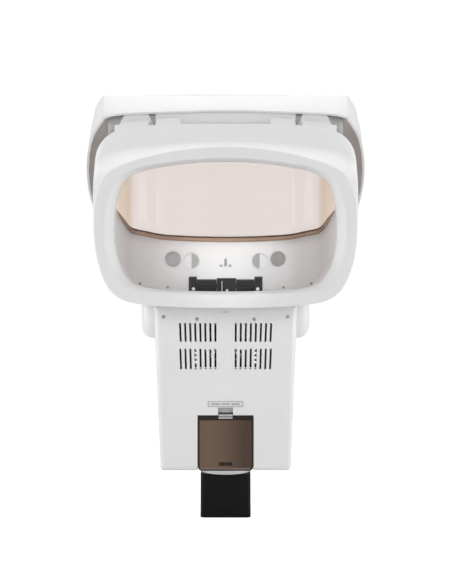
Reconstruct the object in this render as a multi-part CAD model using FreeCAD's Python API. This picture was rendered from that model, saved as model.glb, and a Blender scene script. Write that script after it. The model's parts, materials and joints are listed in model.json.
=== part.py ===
import FreeCAD, Part
import math
import os

from FreeCAD import Vector

# Salon hood head: warm air and mist hood on a swivelling box, on top of a column.
# Millimetres. +Z is up, the hood opens towards -Y, and the origin is the centre of the
# column's bottom end face.

# ---------------------------------------------------------------- driving dimensions
WALL = 3.0                      # moulded shell thickness
RUN = 0.05                      # radial clearance of a running fit
GAP = 0.5                       # gap between parts that pass each other

COLUMN_X, COLUMN_Y = 91.0, 60.0
COLUMN_TOP = 79.5
COLUMN_CORNER = 9.0
COLUMN_WALL = 3.5
BLOCK_Z0 = 42.0                 # lower end of the bearing block and its bush
END_PLATE_T = 10.0
MOUNT_X, MOUNT_Y, MOUNT_R = 50.0, 30.0, 4.25

COLLAR_R, COLLAR_Z0 = 45.5, 80.0
SPIGOT_R = 19.0
CABLE_BORE_R = 13.0              # cables run up through the spigot
SPIGOT_SCREW_CIRCLE = 24.5
BUSH_R = 22.0
FLANGE_R, FLANGE_Z0 = 29.0, 98.0

BOX_Z0, BOX_Z1 = 103.0, 382.0
BOX_HALF_LOW, BOX_HALF_HIGH = 110.5, 121.0
BOX_FRONT, BOX_SPLIT, BOX_BACK = -145.0, -118.0, 112.0
BOX_SLOPE_Y, BOX_BACK_Z = 20.0, 350.0
PANEL_ROUND = 9.0

SLOT_ROWS = ((321.0, 352.0), (275.0, 309.0))
SLOT_FIRST, SLOT_PITCH, SLOT_COUNT, SLOT_W = 17.0, 8.5, 8, 3.3
PANEL_SCREWS = ((104.0, 363.0), (48.0, 359.0))

TANK_X, TANK_Z0, TANK_Z1 = 46.2, 103.8, 196.2
TANK_BACK = -30.0
GRIP_X, GRIP_Z1 = 12.6, 210.0
CAP_R, CAP_Y = 20.0, -65.0
FEED_Z, VALVE_R, VALVE_BORE_R = 124.0, 5.0, 3.0
BOILER_Y, BOILER_R, BOILER_Z0, BOILER_Z1 = 46.0, 32.0, 109.0, 205.0
MIST_X = -136.0                 # where the mist crosses from the hollow shaft into the hood

TILT_Y, TILT_Z, SHAFT_R = 10.0, 362.0, 10.0
CHEEK_X0, CHEEK_X1, CHEEK_R = 124.0, 149.0, 38.0
COVER_X1 = 153.0
CARRIER_TOP = 397.0
FAN_Y, FAN_Z, FAN_R = -105.0, 327.0, 42.0
ROCKER_Y, ROCKER_Z, ROCKER_PIN_R = 110.0, 137.0, 1.5

RING_FRONT, RING_BACK = -230.0, -208.0
ARCH_BACK = -150.0
HOOD_BACK = 100.0
RIM_Z, RIM_SLOPE = 536.9, 0.1665          # seal plane height at ARCH_BACK and its fall to the back
RIM_H = 8.5
DECK_DROP = 2.0                           # the tub's shelf lies this far below the seal plane

LID_PIVOT_Y, LID_PIVOT_Z, LID_PIVOT_R = 75.0, 495.0, 9.0
LID_WING_Y0, WING_T = -125.0, 4.0
BAND_FRONT, BAND_TOP_Y = -150.0, -115.0
BAND_Z0, BAND_Z1 = 709.5, 742.6
BAND_HALF = 207.0
VISOR_FRONT, VISOR_TOP = -143.0, 729.0    # inner faces of the amber cover
CROWN_R = 2620.0                          # side-to-side crown of the lid's top

NOZZLE_Z, NOZZLE_R, TRUNNION_R = 419.0, 12.0, 4.0
PORTS = ((98.0, 470.0, 29.0), (64.0, 467.0, 37.0))
PORT_R = 15.5
MANIFOLD_Y0, MANIFOLD_Y1 = 52.0, 84.0
KNOB_X, KNOB_Z, KNOB_R = 66.0, 447.0, 15.0
BUTTON_Z, BUTTON_R = 434.0, 6.9
START_X, MODE_X = -20.0, 14.0

# Half outlines in X and Z, from the bottom centre to the top centre.
RING_OUTER = ((0, 376.9), (70, 378.3), (131.4, 382.5), (166, 391), (187, 408.5), (205, 454), (211, 515),
              (206, 562), (190, 591), (165, 606), (104, 623.9), (50, 632), (0, 635))
RING_INNER = ((0, 404), (60, 405), (115, 408.5), (147, 416), (165, 436), (176, 470), (178.5, 510),
              (176, 545), (166, 577), (143, 595), (104, 604.5), (50, 611.5), (0, 613.5))
BODY_OUTER = ((0, 387), (70, 387.5), (131.4, 390), (172, 397), (197, 415), (214, 460), (221, 530),
              (220, 605), (213, 650), (195, 674), (113, 687), (50, 692.5), (0, 694))
# Plan of the head space, from the right front to the back centre.
PLAN = ((186, -230), (184.5, -150), (178, -85), (173, -36), (167, -17), (145, 3.5), (125, 22), (110, 29),
        (60, 40.5), (0, 45))
# Front view of the lid wing's outer face, from bottom to tip.
WING = ((222, 466), (222.5, 520), (225.5, 550), (233.7, 580), (236.4, 613), (234, 647),
        (226.5, 694), (213, 735), (206, 741))


# ---------------------------------------------------------------- helpers
def box(x0, x1, y0, y1, z0, z1):
    return Part.makeBox(x1 - x0, y1 - y0, z1 - z0, Vector(x0, y0, z0))


def cyl_x(x0, x1, y, z, r):
    return Part.makeCylinder(r, x1 - x0, Vector(x0, y, z), Vector(1, 0, 0))


def cyl_y(x, y0, y1, z, r):
    return Part.makeCylinder(r, y1 - y0, Vector(x, y0, z), Vector(0, 1, 0))


def cyl_z(x, y, z0, z1, r):
    return Part.makeCylinder(r, z1 - z0, Vector(x, y, z0), Vector(0, 0, 1))


def ring_z(z0, z1, r_out, r_in):
    return cyl_z(0, 0, z0, z1, r_out).cut(cyl_z(0, 0, z0 - 1, z1 + 1, r_in))


def tube_x(x0, x1, y, z, r_out, r_in):
    return cyl_x(x0, x1, y, z, r_out).cut(cyl_x(x0 - 1, x1 + 1, y, z, r_in))


def prism(points, direction):
    wire = Part.makePolygon(points + [points[0]])
    return Part.Face(wire).extrude(direction)


def prism_x(yz, x0, x1):
    return prism([Vector(x0, y, z) for y, z in yz], Vector(x1 - x0, 0, 0))


def prism_y(xz, y0, y1):
    return prism([Vector(x, y0, z) for x, z in xz], Vector(0, y1 - y0, 0))


def mirror_x(shape):
    return shape.mirror(Vector(0, 0, 0), Vector(1, 0, 0))


def both_sides(shape):
    return Part.makeCompound([shape, mirror_x(shape)])


def round_edges(shape, radius, keep):
    return shape.makeFillet(radius, [edge for edge in shape.Edges if keep(edge)])


def runs_along(edge, axis):
    ends = edge.Vertexes
    if len(ends) < 2:
        return False
    step = ends[1].Point.sub(ends[0].Point)
    return abs(step.dot(axis)) > 0.99 * step.Length


def rounded_bar(x0, x1, y0, y1, z0, z1, radius):
    return round_edges(box(x0, x1, y0, y1, z0, z1), radius, lambda e: runs_along(e, Vector(0, 0, 1)))


def smooth_curve(points, closed=False):
    """Curve through points, with knots spaced by the square root of each step so it doesn't overshoot."""
    knots = [0.0]
    for a, b in zip(points, points[1:] + (points[:1] if closed else [])):
        knots.append(knots[-1] + math.sqrt(b.sub(a).Length))
    curve = Part.BSplineCurve()
    curve.interpolate(Points=points, PeriodicFlag=closed, Parameters=knots)
    return curve.toShape()


def outline(half, y, grow_x=0.0, grow_z=0.0):
    """Closed smooth outline in the plane at y, mirrored about X = 0."""
    width = max(x for x, z in half)
    low, high = half[0][1], half[-1][1]
    mid = (low + high) / 2
    sx = (width + grow_x) / width
    sz = ((high - low) / 2 + grow_z) / ((high - low) / 2)
    right = [Vector(x * sx, y, mid + (z - mid) * sz) for x, z in half]
    left = [Vector(-p.x, p.y, p.z) for p in reversed(right[1:-1])]
    return Part.Wire(smooth_curve(right + left, closed=True))


def loft(*wires):
    return Part.makeLoft(list(wires), True, True)


def plan_prism(grow, z0, z1):
    """Column of space over the head plan, with the plan moved outwards by grow."""
    centre = Vector(0, -150, 0)
    right = []
    for x, y in PLAN:
        away = Vector(x, y, 0).sub(centre)
        move = away.normalize().multiply(grow) if y > -200 else Vector(grow, 0, 0)
        right.append(Vector(x, y, z0).add(move))
    left = [Vector(-p.x, p.y, p.z) for p in reversed(right[:-1])]
    front = Part.makeLine(left[-1], right[0])
    return Part.Face(Part.Wire([smooth_curve(right + left), front])).extrude(Vector(0, 0, z1 - z0))


def rim_height(y):
    return RIM_Z - RIM_SLOPE * (y - ARCH_BACK)


def rim_slab(z_from, z_to, y0=-260.0, y1=200.0):
    """Full-width slab between two heights measured from the seal plane."""
    low, high = rim_height(y0), rim_height(y1)
    return prism_x([(y0, low + z_from), (y1, high + z_from), (y1, high + z_to), (y0, low + z_to)], -300, 300)


def crowned(yz):
    """Section in Y and Z swept side to side along the lid's crown."""
    half_angle = math.degrees(math.asin(BAND_HALF / CROWN_R))
    wire = Part.makePolygon([Vector(0, y, z) for y, z in yz] + [Vector(0, *yz[0])])
    axis_point = Vector(0, 0, BAND_Z1 - CROWN_R)
    face = Part.Face(wire).rotate(axis_point, Vector(0, 1, 0), -half_angle)
    return face.revolve(axis_point, Vector(0, 1, 0), 2 * half_angle)


def screw(head, direction, head_r=3.2, head_h=2.2, shank_r=1.6, length=7.0):
    """Round-head screw: head is the centre of the head's seat, direction points into the part."""
    into = Vector(*direction)
    seat = Vector(*head)
    shank = Part.makeCylinder(shank_r, length, seat, into)
    cap = Part.makeCylinder(head_r, head_h, seat.sub(into * head_h), into)
    drive = Part.makeCylinder(head_r * 0.4, 1.0, seat.sub(into * (head_h + 0.01)), into)
    return shank.fuse(cap).cut(drive)


def screws(seats, direction, **sizes):
    return Part.makeCompound([screw(seat, direction, **sizes) for seat in seats])


def pipe_run(points, radius):
    run = Part.makeSphere(radius, Vector(*points[0]))
    for start, end in zip(points, points[1:]):
        a, b = Vector(*start), Vector(*end)
        run = run.fuse(Part.makeCylinder(radius, b.sub(a).Length, a, b.sub(a)))
        run = run.fuse(Part.makeSphere(radius, b))
    return run.removeSplitter()


# ---------------------------------------------------------------- column
def column():
    half_x, half_y = COLUMN_X / 2, COLUMN_Y / 2
    outer = rounded_bar(-half_x, half_x, -half_y, half_y, 0, COLUMN_TOP, COLUMN_CORNER)
    return outer.cut(column_fill(-1, COLUMN_TOP + 1)).cut(column_screws())


def column_fill(z0, z1):
    """Rounded block that fills the column's bore."""
    half_x, half_y = COLUMN_X / 2 - COLUMN_WALL, COLUMN_Y / 2 - COLUMN_WALL
    return rounded_bar(-half_x, half_x, -half_y, half_y, z0, z1, COLUMN_CORNER - COLUMN_WALL)


def column_screws():
    """Flush countersunk screws through the column's narrow sides, into its end plate and bearing block."""
    solids = []
    for z in (END_PLATE_T / 2, 60.0):
        for y in (-14.0, 14.0):
            head = Part.makeCone(4.0, 2.0, 2.0, Vector(COLUMN_X / 2 - 0.1, y, z), Vector(-1, 0, 0))
            solids.append(head.fuse(cyl_x(COLUMN_X / 2 - 12.0, COLUMN_X / 2 - 2.0, y, z, 2.0)))
    return both_sides(Part.makeCompound(solids))


def column_end_plate():
    plate = column_fill(0, END_PLATE_T)
    for x in (-MOUNT_X / 2, MOUNT_X / 2):
        for y in (-MOUNT_Y / 2, MOUNT_Y / 2):
            plate = plate.cut(cyl_z(x, y, -1, END_PLATE_T + 1, MOUNT_R))
    return plate.cut(column_screws())


def bearing_block():
    block = column_fill(BLOCK_Z0, COLUMN_TOP - 0.5)
    return block.cut(cyl_z(0, 0, 0, 100, BUSH_R)).cut(column_screws())


def swivel_bush():
    sleeve = ring_z(BLOCK_Z0, COLUMN_TOP - 0.5, BUSH_R, SPIGOT_R + RUN)
    flange = ring_z(COLUMN_TOP - 0.5, COLUMN_TOP + 1.5, BUSH_R + 3.5, SPIGOT_R + RUN)
    return sleeve.fuse(flange).removeSplitter()


# ---------------------------------------------------------------- swivel
def swivel_spigot():
    post = ring_z(30.0, 106.0, SPIGOT_R, CABLE_BORE_R)
    shoulder = ring_z(COLUMN_TOP + 1.5 + RUN, FLANGE_Z0, BUSH_R + 2.0, CABLE_BORE_R)
    flange = ring_z(FLANGE_Z0, 106.0, FLANGE_R, CABLE_BORE_R)
    return post.fuse(shoulder).fuse(flange).removeSplitter().cut(spigot_screws())


def spigot_retainer():
    return ring_z(34.0, 41.5, SPIGOT_R + 5.0, SPIGOT_R)


def spigot_screws():
    angles = [math.radians(45 + 90 * k) for k in range(4)]
    circle = SPIGOT_SCREW_CIRCLE
    seats = [(circle * math.cos(a), circle * math.sin(a), FLANGE_Z0) for a in angles]
    return screws(seats, (0, 0, 1), head_r=3.0, head_h=2.5, shank_r=1.9, length=10.5)


def collar():
    ring = ring_z(COLLAR_Z0, BOX_Z0, COLLAR_R, FLANGE_R + 1.5)
    return round_edges(ring, 1.5, lambda e: e.BoundBox.ZMax < COLLAR_Z0 + 0.1 and e.BoundBox.XLength > 90)


# ---------------------------------------------------------------- head box
def box_profile(inset, z_low, z_high):
    slope = (BOX_HALF_HIGH - BOX_HALF_LOW) / (BOX_Z1 - BOX_Z0)
    low = BOX_HALF_LOW + slope * (z_low - BOX_Z0) - inset
    high = BOX_HALF_LOW + slope * (z_high - BOX_Z0) - inset
    return [(-low, z_low), (low, z_low), (high, z_high), (-high, z_high)]


def box_solid(inset, y0, y1, z0, z1):
    """Tapered box with rounded lower corners, set in from the outer faces by inset."""
    solid = prism_y(box_profile(inset, z0, z1), y0, y1)
    radius, along = max(8.0 - inset, 1.0), Vector(0, 1, 0)
    return round_edges(solid, radius, lambda e: runs_along(e, along) and e.BoundBox.ZMax < z0 + 1)


def slots():
    """Fanned vent slots: each row leans inwards by the same amount per slot."""
    cutters = []
    for row, (z0, z1) in enumerate(SLOT_ROWS):
        for k in range(SLOT_COUNT):
            top = SLOT_FIRST + (SLOT_PITCH - 0.08 * row) * k + 0.2
            low = top - 0.16 * k - 0.2
            w = SLOT_W / 2
            view = [(low - w, z0), (low + w, z0), (top + w, z1), (top - w, z1)]
            cutter = prism_y(view, BOX_FRONT - 1, BOX_FRONT + 6)
            cutters.append(both_sides(cutter))
    return Part.makeCompound(cutters)


def panel_screws():
    seats = [(sx * x, BOX_FRONT + 2.4, z) for x, z in PANEL_SCREWS for sx in (-1, 1)]
    return screws(seats, (0, 1, 0), head_r=2.6, head_h=1.6, shank_r=1.4, length=9.0)


def front_panel():
    outer = box_solid(0, BOX_FRONT, BOX_SPLIT, BOX_Z0, BOX_Z1)
    outer = round_edges(outer, PANEL_ROUND, lambda e: e.BoundBox.YMax < BOX_FRONT + 0.1)
    inner = box_solid(WALL, BOX_FRONT + WALL, BOX_SPLIT + 1, BOX_Z0 + WALL, BOX_Z1 - WALL)
    panel = outer.cut(inner)
    pillars = [cyl_y(sx * x, BOX_FRONT + WALL, BOX_SPLIT, z, 4.5) for x, z in PANEL_SCREWS for sx in (-1, 1)]
    for pillar in pillars:
        panel = panel.fuse(pillar)
    grip = box(-GRIP_X, GRIP_X, BOX_FRONT - 1, BOX_FRONT + 14, TANK_Z1, GRIP_Z1)
    pocket = box(-GRIP_X - 2, GRIP_X + 2, BOX_FRONT + 0.5, BOX_FRONT + 16, TANK_Z1 + 4.3, GRIP_Z1 + 2)
    panel = panel.fuse(pocket).cut(grip)
    panel = panel.cut(box(-TANK_X - 1, TANK_X + 1, BOX_FRONT - 1, BOX_SPLIT + 1, BOX_Z0 - 1, TANK_Z1 + 1))
    panel = panel.cut(slots()).cut(box(-5, 5, BOX_FRONT - 1, BOX_FRONT + 2, 370, 373))
    for x, z in PANEL_SCREWS:
        for sx in (-1, 1):
            panel = panel.cut(cyl_y(sx * x, BOX_FRONT - 1, BOX_FRONT + 2.4, z, 3.0))
    panel = panel.cut(box(-30, 30, BOX_FRONT - 1, BOX_FRONT + 0.6, 211.0, 221.0))
    return panel.cut(panel_screws())


def caption_plate():
    plate = box(-29.8, 29.8, BOX_FRONT + 0.1, BOX_FRONT + 0.6, 211.2, 220.8)
    for x in (-24.0, -8.0, 8.0):
        plate = plate.cut(box(x, x + 15.0, BOX_FRONT, BOX_FRONT + 0.3, 215.0, 217.0))
    return plate


def casing_side_view(inset, z0):
    top = BOX_Z1 - inset
    return [(BOX_SPLIT - 20, z0), (BOX_BACK - inset, z0), (BOX_BACK - inset, BOX_BACK_Z - inset),
            (BOX_SLOPE_Y, top), (BOX_SPLIT - 20, top)]


def rear_casing():
    floor = BOX_Z0 + WALL
    outer = box_solid(0, BOX_SPLIT, BOX_BACK, floor, BOX_Z1)
    outer = outer.common(prism_x(casing_side_view(0, floor), -200, 200))
    inner = box_solid(WALL, BOX_SPLIT - 1, BOX_BACK + 1, floor - 30, BOX_Z1).common(
        prism_x(casing_side_view(WALL, floor - 10), -200, 200))
    casing = outer.cut(inner)
    casing = casing.cut(cyl_x(-200, 200, TILT_Y, TILT_Z, SHAFT_R + 1.5))
    casing = casing.cut(mains_inlet_hole()).cut(switch_hole())
    for k in range(9):
        casing = casing.cut(box(-60, 60, BOX_BACK - 5, BOX_BACK + 1, 235 + 9 * k, 239 + 9 * k))
    return casing.cut(casing_screws())


def bottom_tray():
    tray = box_solid(0.0, BOX_SPLIT, BOX_BACK, BOX_Z0, BOX_Z0 + 30)
    tray = tray.common(box(-200, 200, -300, 300, 0, BOX_Z0 + WALL))
    return tray.cut(cyl_z(0, 0, 90, 120, FLANGE_R + 1.0))


def casing_screws():
    seats = [(sx * 96.0, BOX_BACK, z) for z in (125.0, 335.0) for sx in (-1, 1)]
    return screws(seats, (0, -1, 0), head_r=3.5, head_h=2.0, shank_r=1.6, length=6.5)


def chassis():
    z0 = BOX_Z0 + WALL
    plate = box(-104, 104, -112, 105, z0, z0 + WALL)
    side = prism_x([(-25, z0), (45, z0), (34, 370), (-14, 370)], 104, 107)
    hub = cyl_x(97, 107, TILT_Y, TILT_Z, 15)
    back_tab = box(90, 104, 102, 105.5, z0, 340)
    frame = plate.fuse(side).fuse(mirror_x(side)).fuse(hub).fuse(mirror_x(hub))
    frame = frame.fuse(back_tab).fuse(mirror_x(back_tab)).removeSplitter()
    frame = frame.cut(cyl_x(-200, 200, TILT_Y, TILT_Z, SHAFT_R)).cut(cyl_z(0, 0, 90, 120, CABLE_BORE_R))
    return frame.cut(spigot_screws()).cut(casing_screws())


def tilt_shafts():
    """Left and right stub shafts; the left one is hollow and carries the mist."""
    right = cyl_x(95, 147, TILT_Y, TILT_Z, SHAFT_R)
    left = mirror_x(right).cut(cyl_x(-150, -80, TILT_Y, TILT_Z, 6.0))
    left = left.cut(cyl_z(MIST_X, TILT_Y, TILT_Z, TILT_Z + 30, 4.0))
    end = cyl_x(-147, -144, TILT_Y, TILT_Z, 6.0)
    return Part.makeCompound([right, left.fuse(end).removeSplitter()])


def friction_washers():
    return both_sides(tube_x(121.2, 123.9, TILT_Y, TILT_Z, 18.0, SHAFT_R + RUN))


# ---------------------------------------------------------------- water tank and mist unit
def water_tank():
    face = box(-TANK_X, TANK_X, BOX_FRONT - 0.5, BOX_FRONT + 2.5, TANK_Z0, TANK_Z1)
    low_edges = [e for e in face.Edges if runs_along(e, Vector(0, 1, 0)) and e.BoundBox.ZMax < TANK_Z0 + 1]
    face = face.makeChamfer(4.0, low_edges)
    body = box(-44, 44, BOX_FRONT + 2.5, TANK_BACK, 113, 186)
    space = box(-41, 41, BOX_FRONT + 5.5, TANK_BACK - 3, 116, 183)
    neck = cyl_z(0, CAP_Y, 170, 188, CAP_R - 3).cut(cyl_z(0, CAP_Y, 160, 200, CAP_R - 6))
    lip = box(-GRIP_X + 0.6, GRIP_X - 0.6, BOX_FRONT - 0.5, BOX_FRONT + 6, TANK_Z1 - 6, TANK_Z1 + 2.5)
    tank = body.cut(space).fuse(face).fuse(lip)
    tank = tank.cut(cyl_z(0, CAP_Y, 180, 200, CAP_R - 6)).fuse(neck.common(box(-60, 60, -200, 0, 183, 188)))
    tank = tank.cut(cyl_y(0, TANK_BACK - 10, TANK_BACK + 10, FEED_Z, VALVE_R))
    for x in (-7.0, 7.0):
        tank = tank.cut(cyl_y(x, BOX_FRONT - 1, BOX_FRONT + 0.3, 114, 4.0))
    return tank.removeSplitter()


def tank_valve():
    nose = cyl_y(0, TANK_BACK - 6, TANK_BACK + 9, FEED_Z, VALVE_R)
    return nose.cut(cyl_y(0, TANK_BACK - 7, TANK_BACK + 10, FEED_Z, VALVE_BORE_R))


def tank_cap():
    cap = cyl_z(0, CAP_Y, 188.1, 194.5, CAP_R)
    plug = cyl_z(0, CAP_Y, 184, 189, CAP_R - 6 - RUN)
    grips = cap.fuse(plug)
    for k in range(12):
        a = 2 * math.pi * k / 12
        grips = grips.cut(cyl_z(CAP_R * math.cos(a), CAP_Y + CAP_R * math.sin(a), 180, 200, 1.5))
    return grips


def tank_bay():
    outer = box(-50, 50, BOX_SPLIT - 22, TANK_BACK + 3, 110, 201)
    inner = box(-47.4, 47.4, BOX_SPLIT - 30, TANK_BACK + 0.6, 112.5, 198.5)
    bay = outer.cut(inner).cut(cyl_y(0, -60, 0, FEED_Z, VALVE_R + 0.6))
    return bay.cut(box(-60, 60, -200, -142, 0, 300)).cut(box(-60, 60, -200, -127, 195, 300))


def valve_socket():
    """Socket that the tank's valve plugs into, with the feed tube to the boiler."""
    tube_end = BOILER_Y - BOILER_R
    socket = cyl_y(0, TANK_BACK + 3, TANK_BACK + 20, FEED_Z, 11.0)
    socket = socket.fuse(cyl_y(0, TANK_BACK + 19, tube_end, FEED_Z, VALVE_R))
    socket = socket.cut(cyl_y(0, TANK_BACK, TANK_BACK + 12, FEED_Z, VALVE_R + 0.6))
    return socket.cut(cyl_y(0, TANK_BACK, tube_end + 6, FEED_Z, 2.5))


def boiler():
    tank = cyl_z(0, BOILER_Y, BOILER_Z0, BOILER_Z1, BOILER_R)
    tank = tank.cut(cyl_z(0, BOILER_Y, BOILER_Z0 + WALL, BOILER_Z1 - WALL, BOILER_R - WALL))
    tank = tank.cut(cyl_y(0, 10, 20, FEED_Z, 2.5)).cut(cyl_z(0, BOILER_Y, BOILER_Z1 - 5, BOILER_Z1 + 5, 5))
    return tank.cut(cyl_z(0, BOILER_Y, BOILER_Z0 - 1, BOILER_Z0 + 4, 8))


def boiler_element():
    """Screw-in plug with a hairpin heating rod."""
    plug = cyl_z(0, BOILER_Y, BOILER_Z0, BOILER_Z0 + 7, 8)
    hairpin = [(x, BOILER_Y, z) for x, z in ((-5, 115), (-5, 180), (5, 180), (5, 115))]
    return plug.fuse(pipe_run(hairpin, 2.5)).removeSplitter()


def steam_pipe():
    points = ((0, BOILER_Y, 207), (0, BOILER_Y, 300), (-40, TILT_Y, TILT_Z), (-90, TILT_Y, TILT_Z))
    run = pipe_run(points, 5.0)
    flange = cyl_z(0, BOILER_Y, BOILER_Z1, BOILER_Z1 + 5, 9.0)
    end = cyl_x(-95, -85, TILT_Y, TILT_Z, 9.0)
    return run.fuse(flange).fuse(end).removeSplitter().common(box(-200, 200, -200, 200, BOILER_Z1, 400))


# ---------------------------------------------------------------- fan and electrics
def fan_frame():
    frame = box(-46, 46, FAN_Y, FAN_Y + 25, FAN_Z - 46, FAN_Z + 46)
    frame = frame.cut(cyl_y(0, FAN_Y - 1, FAN_Y + 26, FAN_Z, FAN_R + 1))
    for k in range(4):
        strut = box(-2, 2, FAN_Y + 21, FAN_Y + 25, FAN_Z + 10, FAN_Z + 44)
        frame = frame.fuse(strut.rotate(Vector(0, 0, FAN_Z), Vector(0, 1, 0), 45 + 90 * k))
    hub = cyl_y(0, FAN_Y + 21, FAN_Y + 25, FAN_Z, 18)
    pin = cyl_y(0, FAN_Y + 8, FAN_Y + 22, FAN_Z, 3)
    shelf = box(-46, 46, FAN_Y, FAN_Y + 25, FAN_Z - 49, FAN_Z - 46)
    legs = [box(x, x + 6, FAN_Y + 10, FAN_Y + 13, 109, FAN_Z - 49) for x in (-62.0, 56.0)]
    bar = box(-62, 62, FAN_Y + 10, FAN_Y + 13, FAN_Z - 52, FAN_Z - 49)
    return frame.fuse(hub).fuse(pin).fuse(shelf).fuse(bar).fuse(legs[0]).fuse(legs[1]).removeSplitter()


def fan_rotor():
    hub = cyl_y(0, FAN_Y + 4, FAN_Y + 20, FAN_Z, 17)
    rotor = hub
    for k in range(7):
        blade = box(-1.2, 1.2, FAN_Y + 5, FAN_Y + 18, FAN_Z + 14, FAN_Z + FAN_R - 1)
        blade.rotate(Vector(0, FAN_Y + 12, FAN_Z), Vector(0, 0, 1), 38)
        rotor = rotor.fuse(blade.rotate(Vector(0, 0, FAN_Z), Vector(0, 1, 0), 360 * k / 7))
    return rotor.removeSplitter().cut(cyl_y(0, FAN_Y + 7.5, FAN_Y + 30, FAN_Z, 3 + RUN))


def control_board():
    board = box(62, 63.6, -100, -10, 175, 265)
    parts = [box(63.6, 78, -92, -72, 185, 215), box(63.6, 72, -60, -30, 190, 205)]
    parts.append(box(63.6, 70, -85, -40, 230, 250))
    feet = [box(60, 62, y, y + 6, 109, 266) for y in (-88.0, -16.0)]
    for piece in parts + feet:
        board = board.fuse(piece)
    return board.removeSplitter()


def transformer():
    core = box(50, 98, 34, 82, 109, 160)
    winding = box(58, 90, 28, 88, 118, 151)
    return core.fuse(winding).removeSplitter()


def mains_inlet_hole():
    return box(-66, -38, BOX_BACK - 10, BOX_BACK + 5, 128, 150)


def mains_inlet():
    body = box(-66, -38, 88, BOX_BACK, 128, 150)
    flange = box(-72, -32, BOX_BACK, BOX_BACK + 2.5, 124, 154)
    shell = body.fuse(flange).cut(box(-63, -41, 96, BOX_BACK + 5, 131, 147))
    for x in (-59.0, -53.0, -47.0):
        shell = shell.fuse(box(x, x + 2, 95, 110, 136, 142))
    return shell.removeSplitter()


def switch_hole():
    return box(38, 60, BOX_BACK - 10, BOX_BACK + 5, 122, 152)


def switch_frame():
    body = box(38, 60, 96.5, BOX_BACK, 122, 152)
    bezel = box(36, 62, BOX_BACK, BOX_BACK + 2.0, 120, 154)
    frame = body.fuse(bezel).cut(box(41, 57, 99, BOX_BACK + 5, 125, 149)).removeSplitter()
    return frame.fuse(cyl_x(38.5, 59.5, ROCKER_Y, ROCKER_Z, ROCKER_PIN_R)).removeSplitter()


def power_rocker():
    """Two-sided rocker on the frame's cross pin, at rest with its lower edge pressed in."""
    side_view = [(104.5, 127.5), (111.5, 126.6), (113.5, 126.6), (112.3, 137), (113.5, 147.4), (111.5, 147.4),
                 (104.5, 146.5)]
    pill = prism_x(side_view, 41.4, 56.6).cut(cyl_x(40, 58, ROCKER_Y, ROCKER_Z, ROCKER_PIN_R + RUN))
    return pill.rotate(Vector(0, ROCKER_Y, ROCKER_Z), Vector(1, 0, 0), 6)


# ---------------------------------------------------------------- hood
def bezel_ring():
    outer = loft(outline(RING_OUTER, RING_FRONT, -4, -4), outline(RING_OUTER, RING_FRONT + 3))
    outer = outer.fuse(loft(outline(RING_OUTER, RING_FRONT + 3), outline(RING_OUTER, RING_BACK, 1.5, 1.5)))
    mouth = loft(outline(RING_INNER, RING_FRONT - 1, 13, 5), outline(RING_INNER, -214))
    back = loft(outline(RING_INNER, -214), outline(RING_INNER, RING_BACK + 1))
    return outer.cut(mouth).cut(back)


def body_loft(inset):
    g = -inset
    return [outline(RING_OUTER, RING_BACK, 1.5 + g, 1.5 + g), outline(BODY_OUTER, ARCH_BACK, g, g),
            outline(BODY_OUTER, -20, g - 3, g), outline(BODY_OUTER, HOOD_BACK - inset, g - 26, g - 6)]


def body_solid(inset):
    return loft(*body_loft(inset))


def lid_space():
    """Everything above the seal plane and behind the front arch."""
    low_front, low_back = rim_height(ARCH_BACK) - DECK_DROP, rim_height(300) - DECK_DROP
    return prism_x([(ARCH_BACK, low_front), (300, low_back), (300, 1000), (ARCH_BACK, 1000)], -400, 400)


def cavity(grow_x, grow_low, y1):
    """Head space seen from the front: widens just behind the ring, then runs straight back."""
    entry = outline(RING_INNER, RING_BACK - 1, grow_x, grow_low)
    wide = outline(RING_INNER, ARCH_BACK, grow_x + 8, grow_low)
    back = outline(RING_INNER, y1, grow_x + 8, grow_low)
    return loft(entry, wide).fuse(loft(wide, back))


def arch_cavity(grow):
    """Inside of the front arch, rising from the ring to the lid's front edge."""
    front = outline(RING_INNER, RING_BACK - 1, 2 + grow, 2 + grow)
    back_points = tuple((x, z if z < 500 else 500 + (z - 500) * 1.58) for x, z in RING_INNER)
    return loft(front, outline(back_points, ARCH_BACK + 1, 8 + grow, grow))


def deck(drop):
    """Tilted shelf between the liner's top edge and the hood's outer wall."""
    slab = rim_slab(-drop - WALL, -drop, ARCH_BACK, 200.0)
    return slab.common(body_solid(0.5)).cut(plan_prism(WALL, 300, 800))


def hood_shell():
    """Thin outer body: front arch up to the lid, open tub below the seal plane, and its top shelf."""
    legs = box(CHEEK_X0 - 2, CHEEK_X1 + 6, -32, 52, 370, 402)
    outer = body_solid(0).cut(lid_space()).cut([legs, mirror_x(legs)])
    shell = outer.cut(body_solid(WALL)).fuse(deck(DECK_DROP)).cut(finger_recesses())
    shell = shell.cut(box(-300, 300, -300, RING_BACK, 0, 900)).cut(lid_pivot_pins())
    for x in (START_X, MODE_X):
        shell = shell.cut(cyl_y(x, 90, 110, BUTTON_Z, BUTTON_R + 1))
    return shell.cut(cyl_y(KNOB_X, 90, 110, KNOB_Z, 4.5))


def finger_recesses():
    """Grip notch in the middle of the arch's back edge, and one channel towards each side."""
    middle = box(-76, 76, ARCH_BACK - 7, ARCH_BACK + 1, 684.5, 720)
    channel = prism_y([(118, 672), (200, 655), (200, 720), (118, 720)], ARCH_BACK - 8, ARCH_BACK + 1)
    return middle.fuse(channel).fuse(mirror_x(channel))


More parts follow.
